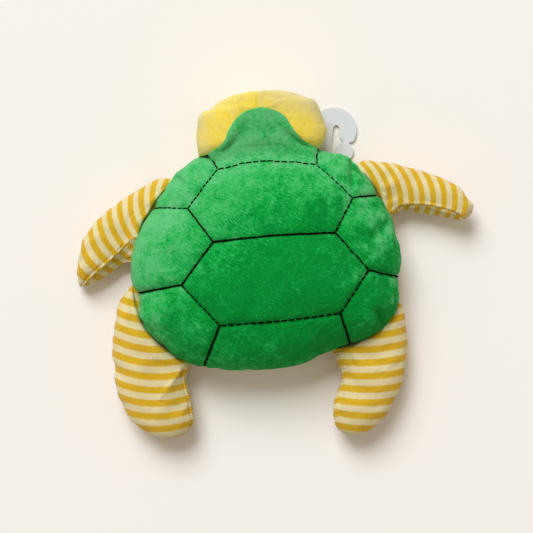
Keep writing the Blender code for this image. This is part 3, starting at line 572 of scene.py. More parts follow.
def jersey_material(name, yellow, cream, banded=1.0):
    """Knitted jersey, with ribs from the fabric map and, where it is banded, toothed bands of yellow and cream:
    the cosine of the band number, shifted at every rib, is sharpened to a band's edge."""
    made, tree, shader = surface_material(name, 0.92, 0.15)
    cloth = add(tree, "SeparateXYZ", {0: add(tree, "UVMap", uv_map="fabric").outputs[0]})
    along, across = cloth.outputs[0], cloth.outputs[1]
    place = object_place(tree)
    rib_turn = reckon(tree, "MULTIPLY", across, 2 * math.pi / RIB_PITCH)
    wander = reckon(tree, "MULTIPLY_ADD", speckle(tree, place, 420.0).outputs["Fac"], 0.10, -0.05)
    shift = reckon(tree, "MULTIPLY_ADD", reckon(tree, "SINE", rib_turn), 0.022, wander)
    wave = reckon(tree, "MULTIPLY", reckon(tree, "ADD", along, shift), 2 * math.pi)
    band = reckon(tree, "MULTIPLY_ADD", reckon(tree, "COSINE", wave), 5.0, 0.65, clamp=True)
    band = reckon(tree, "MULTIPLY", band, banded)
    wear = speckle(tree, place, 900.0, 3.0, 0.7).outputs["Fac"]
    shade = reckon(tree, "MULTIPLY_ADD", wear, 0.30, 0.72)
    shade = reckon(tree, "MULTIPLY_ADD", speckle(tree, place, 70.0).outputs["Fac"], 0.24, shade)
    dyed = add(tree, "Mix", {"Factor": band, "A": (*cream, 1), "B": (*yellow, 1)}, data_type="RGBA").outputs[2]
    tree.links.new(scaled(tree, dyed, shade), shader.inputs["Base Color"])
    knit = reckon(tree, "MULTIPLY_ADD", reckon(tree, "COSINE", rib_turn), 0.25, wear)
    emboss(tree, shader, knit, 0.5, 0.0006)
    shader.inputs["Sheen Weight"].default_value = 0.15
    shader.inputs["Sheen Roughness"].default_value = 0.5
    return made


YELLOW_YARN = (0.69, 0.405, 0.016)
CREAM_YARN = (0.76, 0.64, 0.335)
striped_jersey = jersey_material("striped_jersey", YELLOW_YARN, CREAM_YARN)
plain_jersey = jersey_material("plain_jersey", YELLOW_YARN, CREAM_YARN, 0.0)
belly_grid = belly_surface(*square_disc(120, 1.0))
belly = closed_disc("belly_jersey", belly_grid, (0, 0, 16.0), plain_jersey)
belly_map = belly.data.uv_layers.new(name="fabric")
loop_points = np.empty(len(belly.data.loops), dtype=np.int64)
belly.data.loops.foreach_get("vertex_index", loop_points)
belly_points = finished_points(belly)[loop_points]
belly_map.data.foreach_set(
    "uv", np.stack([belly_points[:, 1] / BAND_PITCH, belly_points[:, 0]], axis=-1).astype(np.float32).ravel())
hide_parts("belly_panel")
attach(belly, "shell")


# Limbs: two flippers and two legs, each a sleeve of two panels of striped cotton jersey over soft stuffing.
# Each is sewn into the shell's seam between two angles of its rim, and the seam between its panels puckers
# along the trailing side. Ribs run between a leading and a trailing edge, and each is a flattened ellipse.
# The solid shell's rim, from which the joints are set, as shares of 100 mm every 20 degrees
CAD_OUTLINE = np.array([
    1.00, 0.98, 0.98, 0.93, 0.875, 0.875, 0.93, 0.925, 0.96,
    1.00, 1.02, 0.975, 0.87, 0.80, 0.79, 0.805, 0.94, 1.02])
HEM_RADIUS = 1.6
TUCK = 4.0
TOE_ROUNDING = 12.0
# Thickness along the limb: station from root to tip, and share of the full thickness
LIMB_SWELL = (
    (0, 0.10), (0.04, 0.50), (0.09, 0.80), (0.16, 0.94), (0.27, 0.98), (0.42, 1), (0.65, 0.95), (0.85, 0.70),
    (0.95, 0.45), (1, 0.25))


def curve_through(points, steps=24):
    """Catmull-Rom curve through the points."""
    points = np.asarray(points, dtype=float)
    knots = np.vstack([2 * points[0] - points[1], points, 2 * points[-1] - points[-2]])
    t = np.linspace(0, 1, steps, endpoint=False)[:, None]
    spans = [spline(a, b, c, d, t) for a, b, c, d in zip(knots, knots[1:], knots[2:], knots[3:])]
    return np.vstack(spans + [points[-1:]])


def read_curve(pairs, at):
    """The value at these places of a smooth curve through (place, value) pairs."""
    curve = curve_through(pairs)
    return np.interp(at, curve[:, 0], curve[:, 1])


def at_fractions(line, fractions):
    """Points of a polyline at these fractions of its length."""
    run = np.concatenate([[0], np.cumsum(np.linalg.norm(np.diff(line, axis=0), axis=1))])
    return np.stack([np.interp(fractions * run[-1], run, line[:, k]) for k in range(line.shape[1])], axis=1)


class StuffedForm:
    """A stuffed form in its own frame: X outward from its hinge, Y along it. Its two edges are curves through
    places given as shares of its length, and its thickness is a swell along them."""

    def __init__(self, lead_deg, trail_deg, length, half_thickness, lead, trail, tip_lift,
                 lift=0.6, plump=1.0, swell=LIMB_SWELL, wedge_deg=(85, 85), root_gap=0.9, roundness=1.0,
                 settled=0.35, close=1.5):
        span = np.radians(np.linspace(lead_deg, trail_deg, 60))
        rim = 100 * closed_curve(CAD_OUTLINE, span)[:, None] * np.stack([np.cos(span), np.sin(span)], axis=1)
        ends = rim[[0, -1]]
        self.side = 1 if trail_deg > lead_deg else -1
        self.along = (ends[1] - ends[0]) / np.linalg.norm(ends[1] - ends[0])
        self.outward = self.side * np.array([self.along[1], -self.along[0]])
        reach = float(np.max(rim @ self.outward))
        beside = math.sqrt((RIM_RADIUS + HEM_RADIUS + root_gap) ** 2 - SEAM_DROP**2) - RIM_RADIUS
        middle = float(np.mean(ends @ self.along))
        self.hinge = self.outward * (reach + beside) + self.along * middle
        self.rim_behind = rim @ self.outward - reach
        self.rim_along = rim @ self.along - middle
        self.half_thickness, self.tip_lift, self.lift = half_thickness, tip_lift, lift
        self.plump, self.swell, self.wedge_deg, self.roundness = plump, swell, wedge_deg, roundness
        self.settled, self.close = settled, close
        half = float(np.linalg.norm(ends[1] - ends[0])) / 2
        self.lead = curve_through(np.vstack([(self.hem(-half) - TUCK, -half), length * np.array(lead)]))
        self.trail = curve_through(np.vstack([(self.hem(half) - TUCK, half), length * np.array(trail)]))
        self.run = float(np.mean([
            np.sum(np.linalg.norm(np.diff(edge, axis=0), axis=1)) for edge in (self.lead, self.trail)]))

    def hem(self, along):
        """How far behind the hinge the hem lies: it follows the rim and is tucked under it."""
        return np.interp(along, self.rim_along, self.rim_behind) - HEM_RADIUS

    def half_height(self, s):
        """Half the thickness at a station: a round hem, a swell and a round toe."""
        hem = np.clip(s * self.run / HEM_RADIUS, 0, 1)
        toe = np.clip((1 - s) * self.run / TOE_ROUNDING, 0, 1)
        swell = (self.half_thickness - HEM_RADIUS) * read_curve(self.swell, s)
        return (HEM_RADIUS * np.sqrt(1 - (1 - hem) ** 2) + swell) * np.sqrt(1 - (1 - toe) ** 2)

    def middle_height(self, s):
        """Height of the middle surface: from the seam down to where the form lies on the floor."""
        half = self.half_height(s)
        lying = self.lift + self.tip_lift * s**2 + (1 - self.plump) * half + self.plump * self.half_thickness
        blend = np.clip(s / self.settled, 0, 1)
        return SEAM_HEIGHT + (lying - SEAM_HEIGHT) * blend**2 * (3 - 2 * blend)

    def surface(self, s, turn):
        """Points at station s and turn round the rib: cosine across between the edges, sine up. Near the shell
        the height is held under a wedge, so that the form stays clear of the overhanging rim."""
        lead, trail = at_fractions(self.lead, s), at_fractions(self.trail, s)
        flat = ((lead + trail) / 2)[:, None, :] + np.cos(turn)[..., None] * ((lead - trail) / 2)[:, None, :]
        ends = (self.lead[0, 1], self.trail[0, 1])
        hem = self.hem(flat[..., 1])
        chord = np.interp(flat[..., 1], ends, (self.hem(ends[0]), self.hem(ends[1])))
        out = flat[..., 0] + (hem - chord) * (1 - s[:, None]) ** 3
        behind = np.maximum(out - hem - HEM_RADIUS + self.close, 0)
        wedge = np.interp(np.abs(flat[..., 1] - 5), (12, 30), self.wedge_deg)
        limit = HEM_RADIUS + behind * np.tan(np.radians(wedge))
        rise = self.half_height(s)[:, None] * np.sign(np.sin(turn)) * np.abs(np.sin(turn)) ** self.roundness
        rise = rise / (1 + (np.abs(rise) / np.maximum(limit, 0.01)) ** 4) ** 0.25
        return self.world(np.stack([out, flat[..., 1], self.middle_height(s)[:, None] + rise], axis=-1))

    def world(self, local):
        """Points of the form's own frame in the toy's frame."""
        flat = self.hinge + local[..., :1] * self.outward + local[..., 1:2] * self.along
        return np.concatenate([flat, local[..., 2:]], axis=-1)

    def swing_line(self, body, made, before=2.0, after=12.0):
        """Bake the piece's placement into its points."""
        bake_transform(made)


def ribs(rows, columns):
    """Stations from root to tip, closer together at both ends, and the turn of every point round its rib."""
    k = np.linspace(0, 1, rows)
    s = 0.998 * (0.5 * k + 0.25 * (1 - np.cos(math.pi * k)))
    return s, np.tile(np.linspace(0, 2 * math.pi, columns, endpoint=False), (rows, 1))


def grid_normals(grid):
    """Unit normals of a grid that wraps in its columns, from central steps both ways."""
    rows = np.gradient(grid, axis=0)
    columns = np.roll(grid, -1, axis=1) - np.roll(grid, 1, axis=1)
    normal = np.cross(columns, rows)
    size = np.linalg.norm(normal, axis=-1)[..., None]
    return normal / np.maximum(size, 1e-9)


LIMB_ROWS = 150
LIMB_COLUMNS = 168
# Each limb's form, how far its lower panel falls straight past the seam (edge), the seam's turn in degrees
# along the limb, and its bands: the place they are counted from, a cubic's ten weights, and the shift of the
# bands on the lower panel
LIMBS = {
    "left_flipper": dict(
        edge=1.0,
        form=StuffedForm(
            132.1, 174.0, 80.0, 11.0,
            lead=((0.040, -0.330), (0.130, -0.211), (0.211, -0.077), (0.280, 0.046), (0.339, 0.154),
                (0.380, 0.262), (0.405, 0.375), (0.418, 0.480), (0.399, 0.574), (0.371, 0.679),
                (0.338, 0.774), (0.303, 0.839), (0.258, 0.892)),
            trail=((-0.020, 0.500), (0.047, 0.633), (0.124, 0.765), (0.174, 0.826), (0.211, 0.862),
                (0.258, 0.892)),
            tip_lift=1.0, plump=0.4),
        seam=((0, 66), (0.22, 61), (0.55, 51), (0.85, 46), (1, 10)),
        centre=(-108, 33), lower_shift=0.45,
        bands=(3.674, -4.43, -1.567, 0.141, -1.537, 1.972, -0.425, 0.906, 0.668, -0.024)),
    "right_flipper": dict(
        edge=1.0,
        form=StuffedForm(
            44.3, 16.3, 80.0, 11.0,
            lead=((0.051, -0.250), (0.133, -0.176), (0.248, -0.078), (0.350, 0.037), (0.436, 0.134),
                (0.520, 0.246), (0.585, 0.352), (0.630, 0.466), (0.633, 0.585), (0.642, 0.663),
                (0.602, 0.714)),
            trail=((0.040, 0.315), (0.109, 0.345), (0.175, 0.420), (0.266, 0.508), (0.366, 0.617),
                (0.456, 0.717), (0.540, 0.731), (0.602, 0.714)),
            tip_lift=10.0, plump=0.4, root_gap=0.3),
        seam=((0, 9), (0.16, 25), (0.25, 34), (0.4, 46), (0.6, 50), (0.78, 48), (0.9, 22), (1, 5)),
        centre=(117, 44), lower_shift=0.4,
        bands=(3.827, 5.02, 0.652, -0.013, 0.047, 2.555, 0, 0, 0, 0)),
    "left_leg": dict(
        edge=0.5,
        form=StuffedForm(
            184.2, 227.8, 80.0, 15.5,
            lead=((-0.016, -0.391), (0.058, -0.346), (0.126, -0.272), (0.205, -0.188), (0.292, -0.092),
                (0.365, -0.002), (0.413, 0.090), (0.496, 0.193), (0.553, 0.305), (0.580, 0.417),
                (0.603, 0.555), (0.573, 0.684), (0.529, 0.782), (0.464, 0.865), (0.383, 0.930)),
            trail=((-0.060, 0.545), (0.002, 0.665), (0.034, 0.748), (0.087, 0.848), (0.135, 0.920),
                (0.204, 0.966), (0.294, 0.962), (0.383, 0.930)),
            tip_lift=2.0, plump=0.5),
        seam=((0, 14), (0.3, 21), (0.6, 15), (1, 5)),
        centre=(-95, -72), lower_shift=0.2,
        bands=(4.551, -0.768, -3.952, 0.935, -0.257, 0.109, 0, 0, 0, 0)),
    "right_leg": dict(
        edge=0.5,
        form=StuffedForm(
            338.9, 303.5, 80.0, 15.5,
            lead=((-0.029, -0.372), (0.052, -0.325), (0.136, -0.271), (0.235, -0.206), (0.345, -0.117),
                (0.441, -0.029), (0.525, 0.069), (0.599, 0.194), (0.660, 0.303), (0.690, 0.424),
                (0.690, 0.546), (0.672, 0.648), (0.624, 0.715)),
            trail=((0.026, 0.421), (0.110, 0.447), (0.180, 0.500), (0.243, 0.610), (0.315, 0.701),
                (0.388, 0.742), (0.457, 0.775), (0.546, 0.772), (0.624, 0.715)),
            tip_lift=2.0, plump=0.5),
        seam=((0, 23), (0.25, 21), (0.4, 13), (0.65, 19), (1, 5)),
        centre=(73, -90), lower_shift=-0.15,
        bands=(4.056, -0.092, -4.073, 0.489, 0.198, -0.049, 0, 0, 0, 0)),
}
# Folds of each limb's upper panel: start and end in plan, width and depth
LIMB_FOLDS = {
    "left_leg": [
        ((-69.5, -74.6), (-85.5, -93.9), 1.3, 1.3), ((-72.0, -79.0), (-80.0, -90.0), 3.2, 0.9),
        ((-84.0, -48.0), (-79.0, -56.0), 3.0, 1.2)],
    "right_leg": [((54.0, -72.0), (58.0, -80.0), 2.6, 1.4), ((66.0, -68.0), (70.0, -76.0), 3.0, 1.0)],
    "left_flipper": [((-92.0, 28.0), (-101.0, 20.0), 3.0, 1.2)],
    "right_flipper": [((92.0, 38.0), (99.0, 41.0), 3.0, 0.8)],
}
LIMB_GROWTH, LIMB_CAP = 0.05, 1.0
LIMB_LUMPS = ((0.45, 17.0, 11), (0.15, 7.0, 12))
RIDGE_HEIGHT, RIDGE_PLACE, RIDGE_WIDTH = 0.55, 1.6, 1.1
GROOVE_DEPTH, GROOVE_WIDTH = 0.7, 0.7
PUCKER_PITCH, PUCKER_HEIGHT, PUCKER_WIDTH = 3.1, 0.42, 3.4
GATHERS, GATHER_HEIGHT = 9, 0.22
FLOOR_CLEAR = 0.35


def band_number(centre, bands, flat):
    """Which band a place in plan lies in: whole numbers at yellow bands, from a cubic in place over 40 mm."""
    x, y = ((flat - np.array(centre)) / 40.0).transpose(-1, *range(flat.ndim - 1))
    terms = (1 + 0 * x, x, y, x * x, x * y, y * y, x**3, x * x * y, x * y * y, y**3)
    return sum(weight * term for weight, term in zip(bands, terms))


def root_and_tip_held(form, s, turn):
    """How firmly the cloth is held: fully at both edges, over the sewn root and at the tip."""
    held = np.maximum(np.abs(np.cos(turn)) ** 12, np.clip(1 - (s[:, None] * form.run - TUCK) / 5, 0, 1))
    return np.maximum(held, s[:, None] > 0.97)


def free_share(form, s, toe):
    """Share from 0 to 1 of the lumps that a station shows: none under the shell's rim nor at the very tip."""
    return np.clip((s[:, None] * form.run - TUCK) / 6, 0, 1) * np.clip((1 - s[:, None]) * form.run / toe, 0, 1)


def closed_form(grid):
    """Points and faces of a stuffed form: its grid, wrapped round, and a fan of triangles over each end."""
    rows, columns = grid.shape[:2]
    points = np.vstack([grid.reshape(-1, 3), grid[0].mean(axis=0), grid[-1].mean(axis=0)])
    ring = np.arange(columns)
    last = (rows - 1) * columns
    # the ends face opposite ways, so the root's fan is turned round
    root = [face[::-1] for face in fan(ring, rows * columns)]
    return points, grid_quads(rows, columns, wrap=True), root + fan(last + ring, rows * columns + 1)


for limb_name, facts in LIMBS.items():
    form = facts["form"]
    s, turn = ribs(LIMB_ROWS, LIMB_COLUMNS)
    grid = form.surface(s, turn)
    seam_turn = (math.pi - np.radians(read_curve(facts["seam"], s)))[:, None]
    half_width = np.linalg.norm(at_fractions(form.lead, s) - at_fractions(form.trail, s), axis=1)[:, None] / 2
    half_height = form.half_height(s)[:, None]
    # past the seam the lower panel falls away straight to the edge
    fall = np.clip((1 + np.cos(turn)) / (1 + np.cos(seam_turn)), 0, 1)
    straight = form.middle_height(s)[:, None] + half_height * np.sin(seam_turn) * fall - grid[..., 2]
    grid[..., 2] += facts["edge"] * np.where((turn > seam_turn) & (turn < math.pi), np.minimum(straight, 0), 0)
    held = np.maximum(root_and_tip_held(form, s, turn), np.exp(-((turn - seam_turn) * half_width / 1.5) ** 2))
    grid = grid + blown_up(grid, held, True, LIMB_GROWTH, LIMB_CAP)
    # the seam is a groove between two ridges, puckered by its stitches
    off = (turn - seam_turn) * np.hypot(half_width * np.sin(seam_turn), half_height * np.cos(seam_turn))
    pucker = np.sin(s[:, None] * form.run * 2 * math.pi / PUCKER_PITCH + 2.5 * value_noise(grid, 6.0, 13))
    sewn = RIDGE_HEIGHT * np.exp(-((np.abs(off) - RIDGE_PLACE) / RIDGE_WIDTH) ** 2)
    sewn += PUCKER_HEIGHT * pucker * np.exp(-(off / PUCKER_WIDTH) ** 2)
    sewn -= GROOVE_DEPTH * np.exp(-(off / GROOVE_WIDTH) ** 2)
    lump = lumps(grid, LIMB_LUMPS) + sewn * np.clip(s[:, None] * 8, 0, 1)
    lump -= folds(grid[..., :2], LIMB_FOLDS[limb_name]) * (np.sin(turn) > 0)
    # the root is gathered into the shell's seam
    gather = np.sin(turn * GATHERS + 2 * value_noise(grid, 14.0, 14))
    lump += GATHER_HEIGHT * gather * np.exp(-((s[:, None] * form.run - TUCK - 5) / 7.0) ** 2)
    grid = grid + (lump * free_share(form, s, 3))[..., None] * grid_normals(grid)
    grid[..., 2] = np.maximum(grid[..., 2], FLOOR_CLEAR)
    grid[0] = grid[0].mean(axis=0) * 0.5 + grid[0] * 0.5
    points, quads, caps = closed_form(grid)
    # the fabric map: band number along, and mm round the rib across
    number = band_number(facts["centre"], facts["bands"], grid[..., :2])
    around = np.cumsum(np.linalg.norm(np.diff(grid, axis=1, append=grid[:, :1]), axis=-1), axis=1)
    lower = (turn >= seam_turn).ravel()[quads[:, 0]]
    along = number.ravel()[quads] + facts["lower_shift"] * lower[:, None]
    quad_map = np.stack([along, around.ravel()[quads]], axis=-1)
    wrap_rows = quad_map[..., 1].max(axis=1) - quad_map[..., 1].min(axis=1) > 20
    quad_map[wrap_rows, :, 1] = quad_map[wrap_rows, :, 1].max(axis=1)[:, None]
    cap_map = [np.tile([number[row].mean(), around[row].mean()], (3 * LIMB_COLUMNS, 1)) for row in (0, -1)]
    fabric = np.vstack([quad_map.reshape(-1, 2), *cap_map])
    sleeve = piece(limb_name + "_sleeve", points, quads.tolist() + caps, [striped_jersey], fabric)
    face_outward(sleeve.data)
    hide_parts(*(limb_name + part for part in ("_upper_panel", "_lower_panel", "_filling")))
    form.swing_line(limb_name, sleeve)


# Head: two sides of yellow plush sewn together down the middle, wide and flat over firm stuffing, with a soft
# corner at each cheek. Its open end is sewn into the shell's seam, and the cheeks bulge back over the shell.
# Thickness from the neck to the front: station and share of the full thickness
HEAD_SWELL = (
    (0, 0), (0.02, 0.30), (0.04, 0.62), (0.06, 0.86), (0.09, 0.97), (0.15, 1), (0.40, 1),
    (0.60, 0.99), (0.74, 0.95), (0.84, 0.87), (0.92, 0.74), (1, 0.50))
head_form = StuffedForm(
    117.8, 61.7, 42.0, 23.0,
    lead=((0.151, -1.049), (0.372, -1.019), (0.493, -0.983), (0.570, -0.914), (0.613, -0.799),
        (0.741, -0.633), (0.803, -0.491), (0.845, -0.356), (0.873, -0.177), (0.893, 0.030)),
    trail=((0.104, 1.222), (0.276, 1.202), (0.428, 1.161), (0.521, 1.127), (0.639, 1.053), (0.720, 0.915),
        (0.797, 0.760), (0.852, 0.578), (0.879, 0.414), (0.874, 0.219), (0.893, 0.030)),
    tip_lift=0.0, lift=4.0, swell=HEAD_SWELL, wedge_deg=(58, 88), roundness=0.6,
    settled=0.18, close=0.0)
HEAD_ROWS = 190
HEAD_COLUMNS = 256
HEAD_GROWTH, HEAD_CAP = 0.012, 0.8
HEAD_LUMPS = ((0.6, 19.0, 21), (0.1, 3.2, 22), (0.08, 1.6, 23))
MIDDLE_SEAM = ((4.6, 60.0), (3.2, 130.0))
MIDDLE_DEPTH, MIDDLE_WIDTH = 0.6, 1.1
CHEEKS = ((-37.0, 110.0), (42.5, 114.0))
CHEEK_RISE = 1.2
CHEEK_LEAN = 5.0
YELLOW_PATCHES = ((0.22, 14.0, 34), (0.2, 5.0, 35))
YELLOW_TONES = ((0.90, 0.678, 0.070), (0.87, 0.672, 0.118), (0.765, 0.63, 0.215), (0.735, 0.63, 0.30))
# the tone after the four tones is painted sheen, mixed in where the pile is seen edge on, and the shader's
# sheen tint
yellow_plush = plush_material("yellow_plush", YELLOW_TONES, (0.80, 0.70, 0.36), 0.4, 75)


def yellow_nap_and_sheen(points):
    """Paleness of the yellow pile: bright beside the hood, pale towards the rim and over the front, which is
    painted sheen, and pale on the right of the middle seam, whose two sides are combed apart."""
    away = np.hypot((points[:, 0] - 4) / 50, (points[:, 1] - 92) / 38)
    # painted sheen: paler towards the head's rim and over its front
    pale = -0.02 + 0.75 * np.clip(away, 0, 1.1) ** 3 + 0.15 * np.clip((points[:, 1] - 105) / 20, 0, 1)
    pale += 0.34 / (1 + np.exp(-(points[:, 0] - 3.6) / 0.5)) * np.clip((points[:, 1] - 98) / 14, 0, 1)
    return np.clip(pale + lumps(points, YELLOW_PATCHES), -0.1, 1.1)


s, turn = ribs(HEAD_ROWS, HEAD_COLUMNS)
grid = head_form.surface(s, turn)
held = root_and_tip_held(head_form, s, turn)
held = np.maximum(held, np.exp(-(distance_to(grid[..., :2], *MIDDLE_SEAM) / 2.5) ** 4))
grid = grid + blown_up(grid, held, True, HEAD_GROWTH, HEAD_CAP)
seam_off = distance_to(grid[..., :2], *MIDDLE_SEAM)
lump = lumps(grid, HEAD_LUMPS) - MIDDLE_DEPTH * np.exp(-(seam_off / MIDDLE_WIDTH) ** 2)
for cheek in CHEEKS:
    lump += CHEEK_RISE * np.exp(-np.sum((grid[..., :2] - cheek) ** 2, axis=-1) / 40.0)
grid = grid + (lump * free_share(head_form, s, 2))[..., None] * grid_normals(grid)
# the cheeks bulge back over the shell's shoulders
lean = CHEEK_LEAN * np.clip((grid[..., 2] - 22) / 18, 0, 1)
lean *= np.clip((np.abs(grid[..., 0] - 5) - 20) / 12, 0, 1)
grid[..., 1] -= lean * np.exp(-((s[:, None] * head_form.run - TUCK) / 14.0) ** 2)
head_grid = grid
points, quads, caps = closed_form(head_grid)
head = piece("head_plush", points, quads.tolist() + caps, [yellow_plush])
face_outward(head.data, MERGE)
# the head's paleness carries painted sheen
paint_nap_and_light(head, yellow_nap_and_sheen)
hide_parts("head_left_panel", "head_right_panel", "head_filling")
head_form.swing_line("head", head, 2.0, 8.0)


# Hood: the shell's green plush runs on over the neck and lies on the head as a round tongue. It is one thin
# padded layer whose edge is turned under, and it drapes over the head's finished top.
# Its left and right edges in plan, from the neck line to the tip
HOOD_LEFT = (
    (-30.0, 69.7), (-33.0, 76.0), (-35.4, 81.8), (-28.2, 85.4), (-22.7, 90.2), (-20.0, 96.3),
    (-13.1, 105.1), (-4.9, 110.0), (5.2, 111.6))
HOOD_RIGHT = (
    (41.9, 67.3), (43.0, 73.5), (43.4, 79.2), (37.6, 83.0), (31.5, 87.9), (26.3, 96.0), (21.7, 103.9),
    (14.8, 108.7), (5.2, 111.6))
# Heights of its edge and of its crest: share of its length, and height
HOOD_EDGE_HEIGHT = (
    (0, 38.0), (0.13, 36.0), (0.25, 34.0), (0.36, 34.5), (0.48, 35.5), (0.62, 37.0), (0.8, 39.0), (1, 40.0))
HOOD_CREST = (
    (0, 41.0), (0.12, 44.6), (0.25, 46.6), (0.4, 48.0), (0.55, 48.8), (0.7, 50.2), (0.85, 50.6), (1, 47.5))
HOOD_ROWS = 170
HOOD_COLUMNS = 190
HOOD_LUMPS = ((0.3, 9.0, 2), (0.12, 3.6, 3), (0.1, 1.7, 4))
HOOD_THICK = 2.2
HOOD_HANG = 5.0
DRAPE_ROWS = 20.0
HEAD_CELL = 1.2
HEAD_CORNER = np.array([-60.0, 66.0])


def raised_map(grid):
    """The highest point of a finished surface over each square of a level raster, spread by one square."""
    raster = np.zeros((100, 64))
    spots = grid.reshape(-1, 3)
    place = np.floor((spots[:, :2] - HEAD_CORNER) / HEAD_CELL).astype(int)
    inside = np.all((place >= 0) & (place < raster.shape), axis=1)
    np.maximum.at(raster, tuple(place[inside].T), spots[inside, 2])
    for axis in (0, 1):
        raster = np.maximum.reduce([np.roll(raster, step, axis) for step in (-1, 0, 1)])
    for axis in (0, 1, 0, 1):
        raster = sum(np.roll(raster, step, axis) for step in (-1, 0, 1)) / 3
    return raster


head_raster = raised_map(grid)


def between(grid, spot):
    """Values of a grid at fractional row and column numbers, weighted from the four nearest points."""
    low = np.floor(spot).astype(int)
    i, j = low[..., 0], low[..., 1]
    down, over = (spot - low)[..., :1], (spot - low)[..., 1:]
    near = grid[i, j] * (1 - down) + grid[i + 1, j] * down
    far = grid[i, j + 1] * (1 - down) + grid[i + 1, j + 1] * down
    return near * (1 - over) + far * over


def head_top(flat):
    """Height of the head's finished top at places in plan."""
    spot = np.clip((flat - HEAD_CORNER) / HEAD_CELL - 0.5, 0, np.array(head_raster.shape) - 1.01)
    return between(head_raster[..., None], spot)[..., 0]


def on_shell(flat):
    """Points and normals of the finished shell at places in plan: reach and angle are turned back into the
    square grid's own rows and columns."""
    angle = np.arctan2(flat[..., 1], flat[..., 0])
    reach = np.linalg.norm(flat, axis=-1) / (rim_at(angle) - RIM_TRIM)
    big = np.arcsin(np.clip(reach, 0, 1)) / (math.pi / 2) / SHELL_EDGE
    quarter = np.floor((angle + math.pi / 4) / (math.pi / 2))
    slope = big * (angle - quarter * math.pi / 2) / (math.pi / 4)
    quarter = (quarter % 4).astype(int)
    u, v = np.choose(quarter, [big, -slope, -big, slope]), np.choose(quarter, [slope, big, -slope, -big])
    spot = (np.stack([u, v], axis=-1) + 1) / 2 * (SHELL_GRID - 1)
    return between(shell_grid, spot), between(shell_normals, spot)


shell_normals = np.cross(np.gradient(shell_grid, axis=0), np.gradient(shell_grid, axis=1))
shell_normals /= np.linalg.norm(shell_normals, axis=-1)[..., None]
u = np.linspace(0, 1, HOOD_ROWS)
v = np.sin(np.linspace(-1, 1, HOOD_COLUMNS) * math.pi / 2)[None, :]
left, right = (at_fractions(curve_through(edge), u) for edge in (HOOD_LEFT, HOOD_RIGHT))
flat = ((left + right) / 2)[:, None, :] + v[..., None] * ((right - left) / 2)[:, None, :]
flat[..., 1] += 4.6 * (1 - v**2) ** 0.8 * np.clip(1 - 2.2 * u, 0, 1)[:, None]
edge_height = read_curve(HOOD_EDGE_HEIGHT, u)[:, None]
arch = (1 - np.abs(v) ** 2.4) ** (1 / 2.4)
height = edge_height + (read_curve(HOOD_CREST, u)[:, None] - edge_height) * arch
under = head_top(flat) + 1.3 * arch**0.5 + 0.3
over_shell = on_shell(flat)[0][..., 2] + 0.9 * arch**0.5 * np.clip(u[:, None] * 8, 0, 1) - 1.0
soft = 1.2
height = soft * np.log(np.exp(height / soft) + np.exp(under / soft) + np.exp(over_shell / soft))
# it spans the hollow of the neck: heights are evened out along its length, and never sink into the head
rows = np.arange(HOOD_ROWS)
drape = np.exp(-((rows[:, None] - rows) / DRAPE_ROWS) ** 2)
smooth = drape @ height / drape.sum(axis=1)[:, None]
height = smooth + 0.6 * np.log1p(np.exp((under - 0.6 - smooth) / 0.6))
hood_top = np.concatenate([flat, height[..., None]], axis=-1)
hood_top[..., 2] += (lumps(hood_top, HOOD_LUMPS) - folds(flat, CREASES)) * np.clip(arch * 2, 0, 1)
hang = np.minimum(np.maximum(HOOD_THICK * np.clip(arch * 3, 0.02, 1), height - under), HOOD_HANG)
hood_low = hood_top - np.array([0, 0, 1.0]) * hang[..., None]
count = HOOD_ROWS * HOOD_COLUMNS
quads = grid_quads(HOOD_ROWS, HOOD_COLUMNS)
border = grid_border(HOOD_ROWS, HOOD_COLUMNS)
sides = np.stack([border, np.roll(border, -1), np.roll(border, -1) + count, border + count], axis=1)
faces = quads.tolist() + (quads[:, ::-1] + count).tolist() + sides.tolist()
hood = piece("neck_hood", np.vstack([hood_top.reshape(-1, 3), hood_low.reshape(-1, 3)]), faces, [green_plush])
face_outward(hood.data, MERGE)
# the hood's paleness carries painted light, shade and sheen
paint_nap_and_light(hood, green_nap_and_light)
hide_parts("head_hood")
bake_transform(hood)


# Stitches: thick black twisted cotton in a running stitch through the shell, along its two outlines and their
# spokes. Each stitch is a short round bar that dips into the plush at its ends.
black_thread, tree, shader = surface_material("black_thread", 0.95, 0.03)
twist = speckle(tree, object_place(tree), 1600.0).outputs["Fac"]
ply = between_colours(tree, twist, (0.0008, 0.0009, 0.0008), (0.005, 0.0055, 0.005))
tree.links.new(ply.outputs["Color"], shader.inputs["Base Color"])
emboss(tree, shader, twist, 0.5, 0.0003)
STITCH_NODES = {"front": "front_outline_stitching", "back": "back_outline_stitching"}
# Each line's share of gap, its thread's radius and its pitch
LINE_LOOK = {
    ("L1a", "L1b"): (0.26, 0.48, 5.1), ("L1b", "L2b"): (0.34, 0.42, 4.6), ("L2b", "L3b"): (0.18, 0.60, 4.8),
    ("L3b", "L3a"): (0.06, 0.76, 5.6), ("L3a", "L2a"): (0.12, 0.66, 4.4), ("L2a", "L1a"): (0.26, 0.50, 3.8),
    ("L3a", "L4a"): (0.08, 0.72, 4.6), ("L4a", "L5a"): (0.22, 0.58, 4.6), ("L5a", "L5b"): (0.18, 0.62, 5.5),
    ("L5b", "L4b"): (0.18, 0.60, 5.0), ("L4b", "L3b"): (0.18, 0.60, 5.0), ("L1a", "r1"): (0.24, 0.56, 4.4),
    ("L1b", "r2"): (0.24, 0.52, 4.0), ("L2a", "r3"): (0.26, 0.48, 4.6), ("L2b", "r4"): (0.04, 0.58, 4.4),
    ("L4a", "r5"): (0.04, 0.70, 4.8), ("L4b", "r6"): (0.10, 0.60, 4.8), ("L5a", "r7"): (0.02, 0.80, 4.8),
    ("L5b", "r8"): (0.08, 0.74, 4.8)}
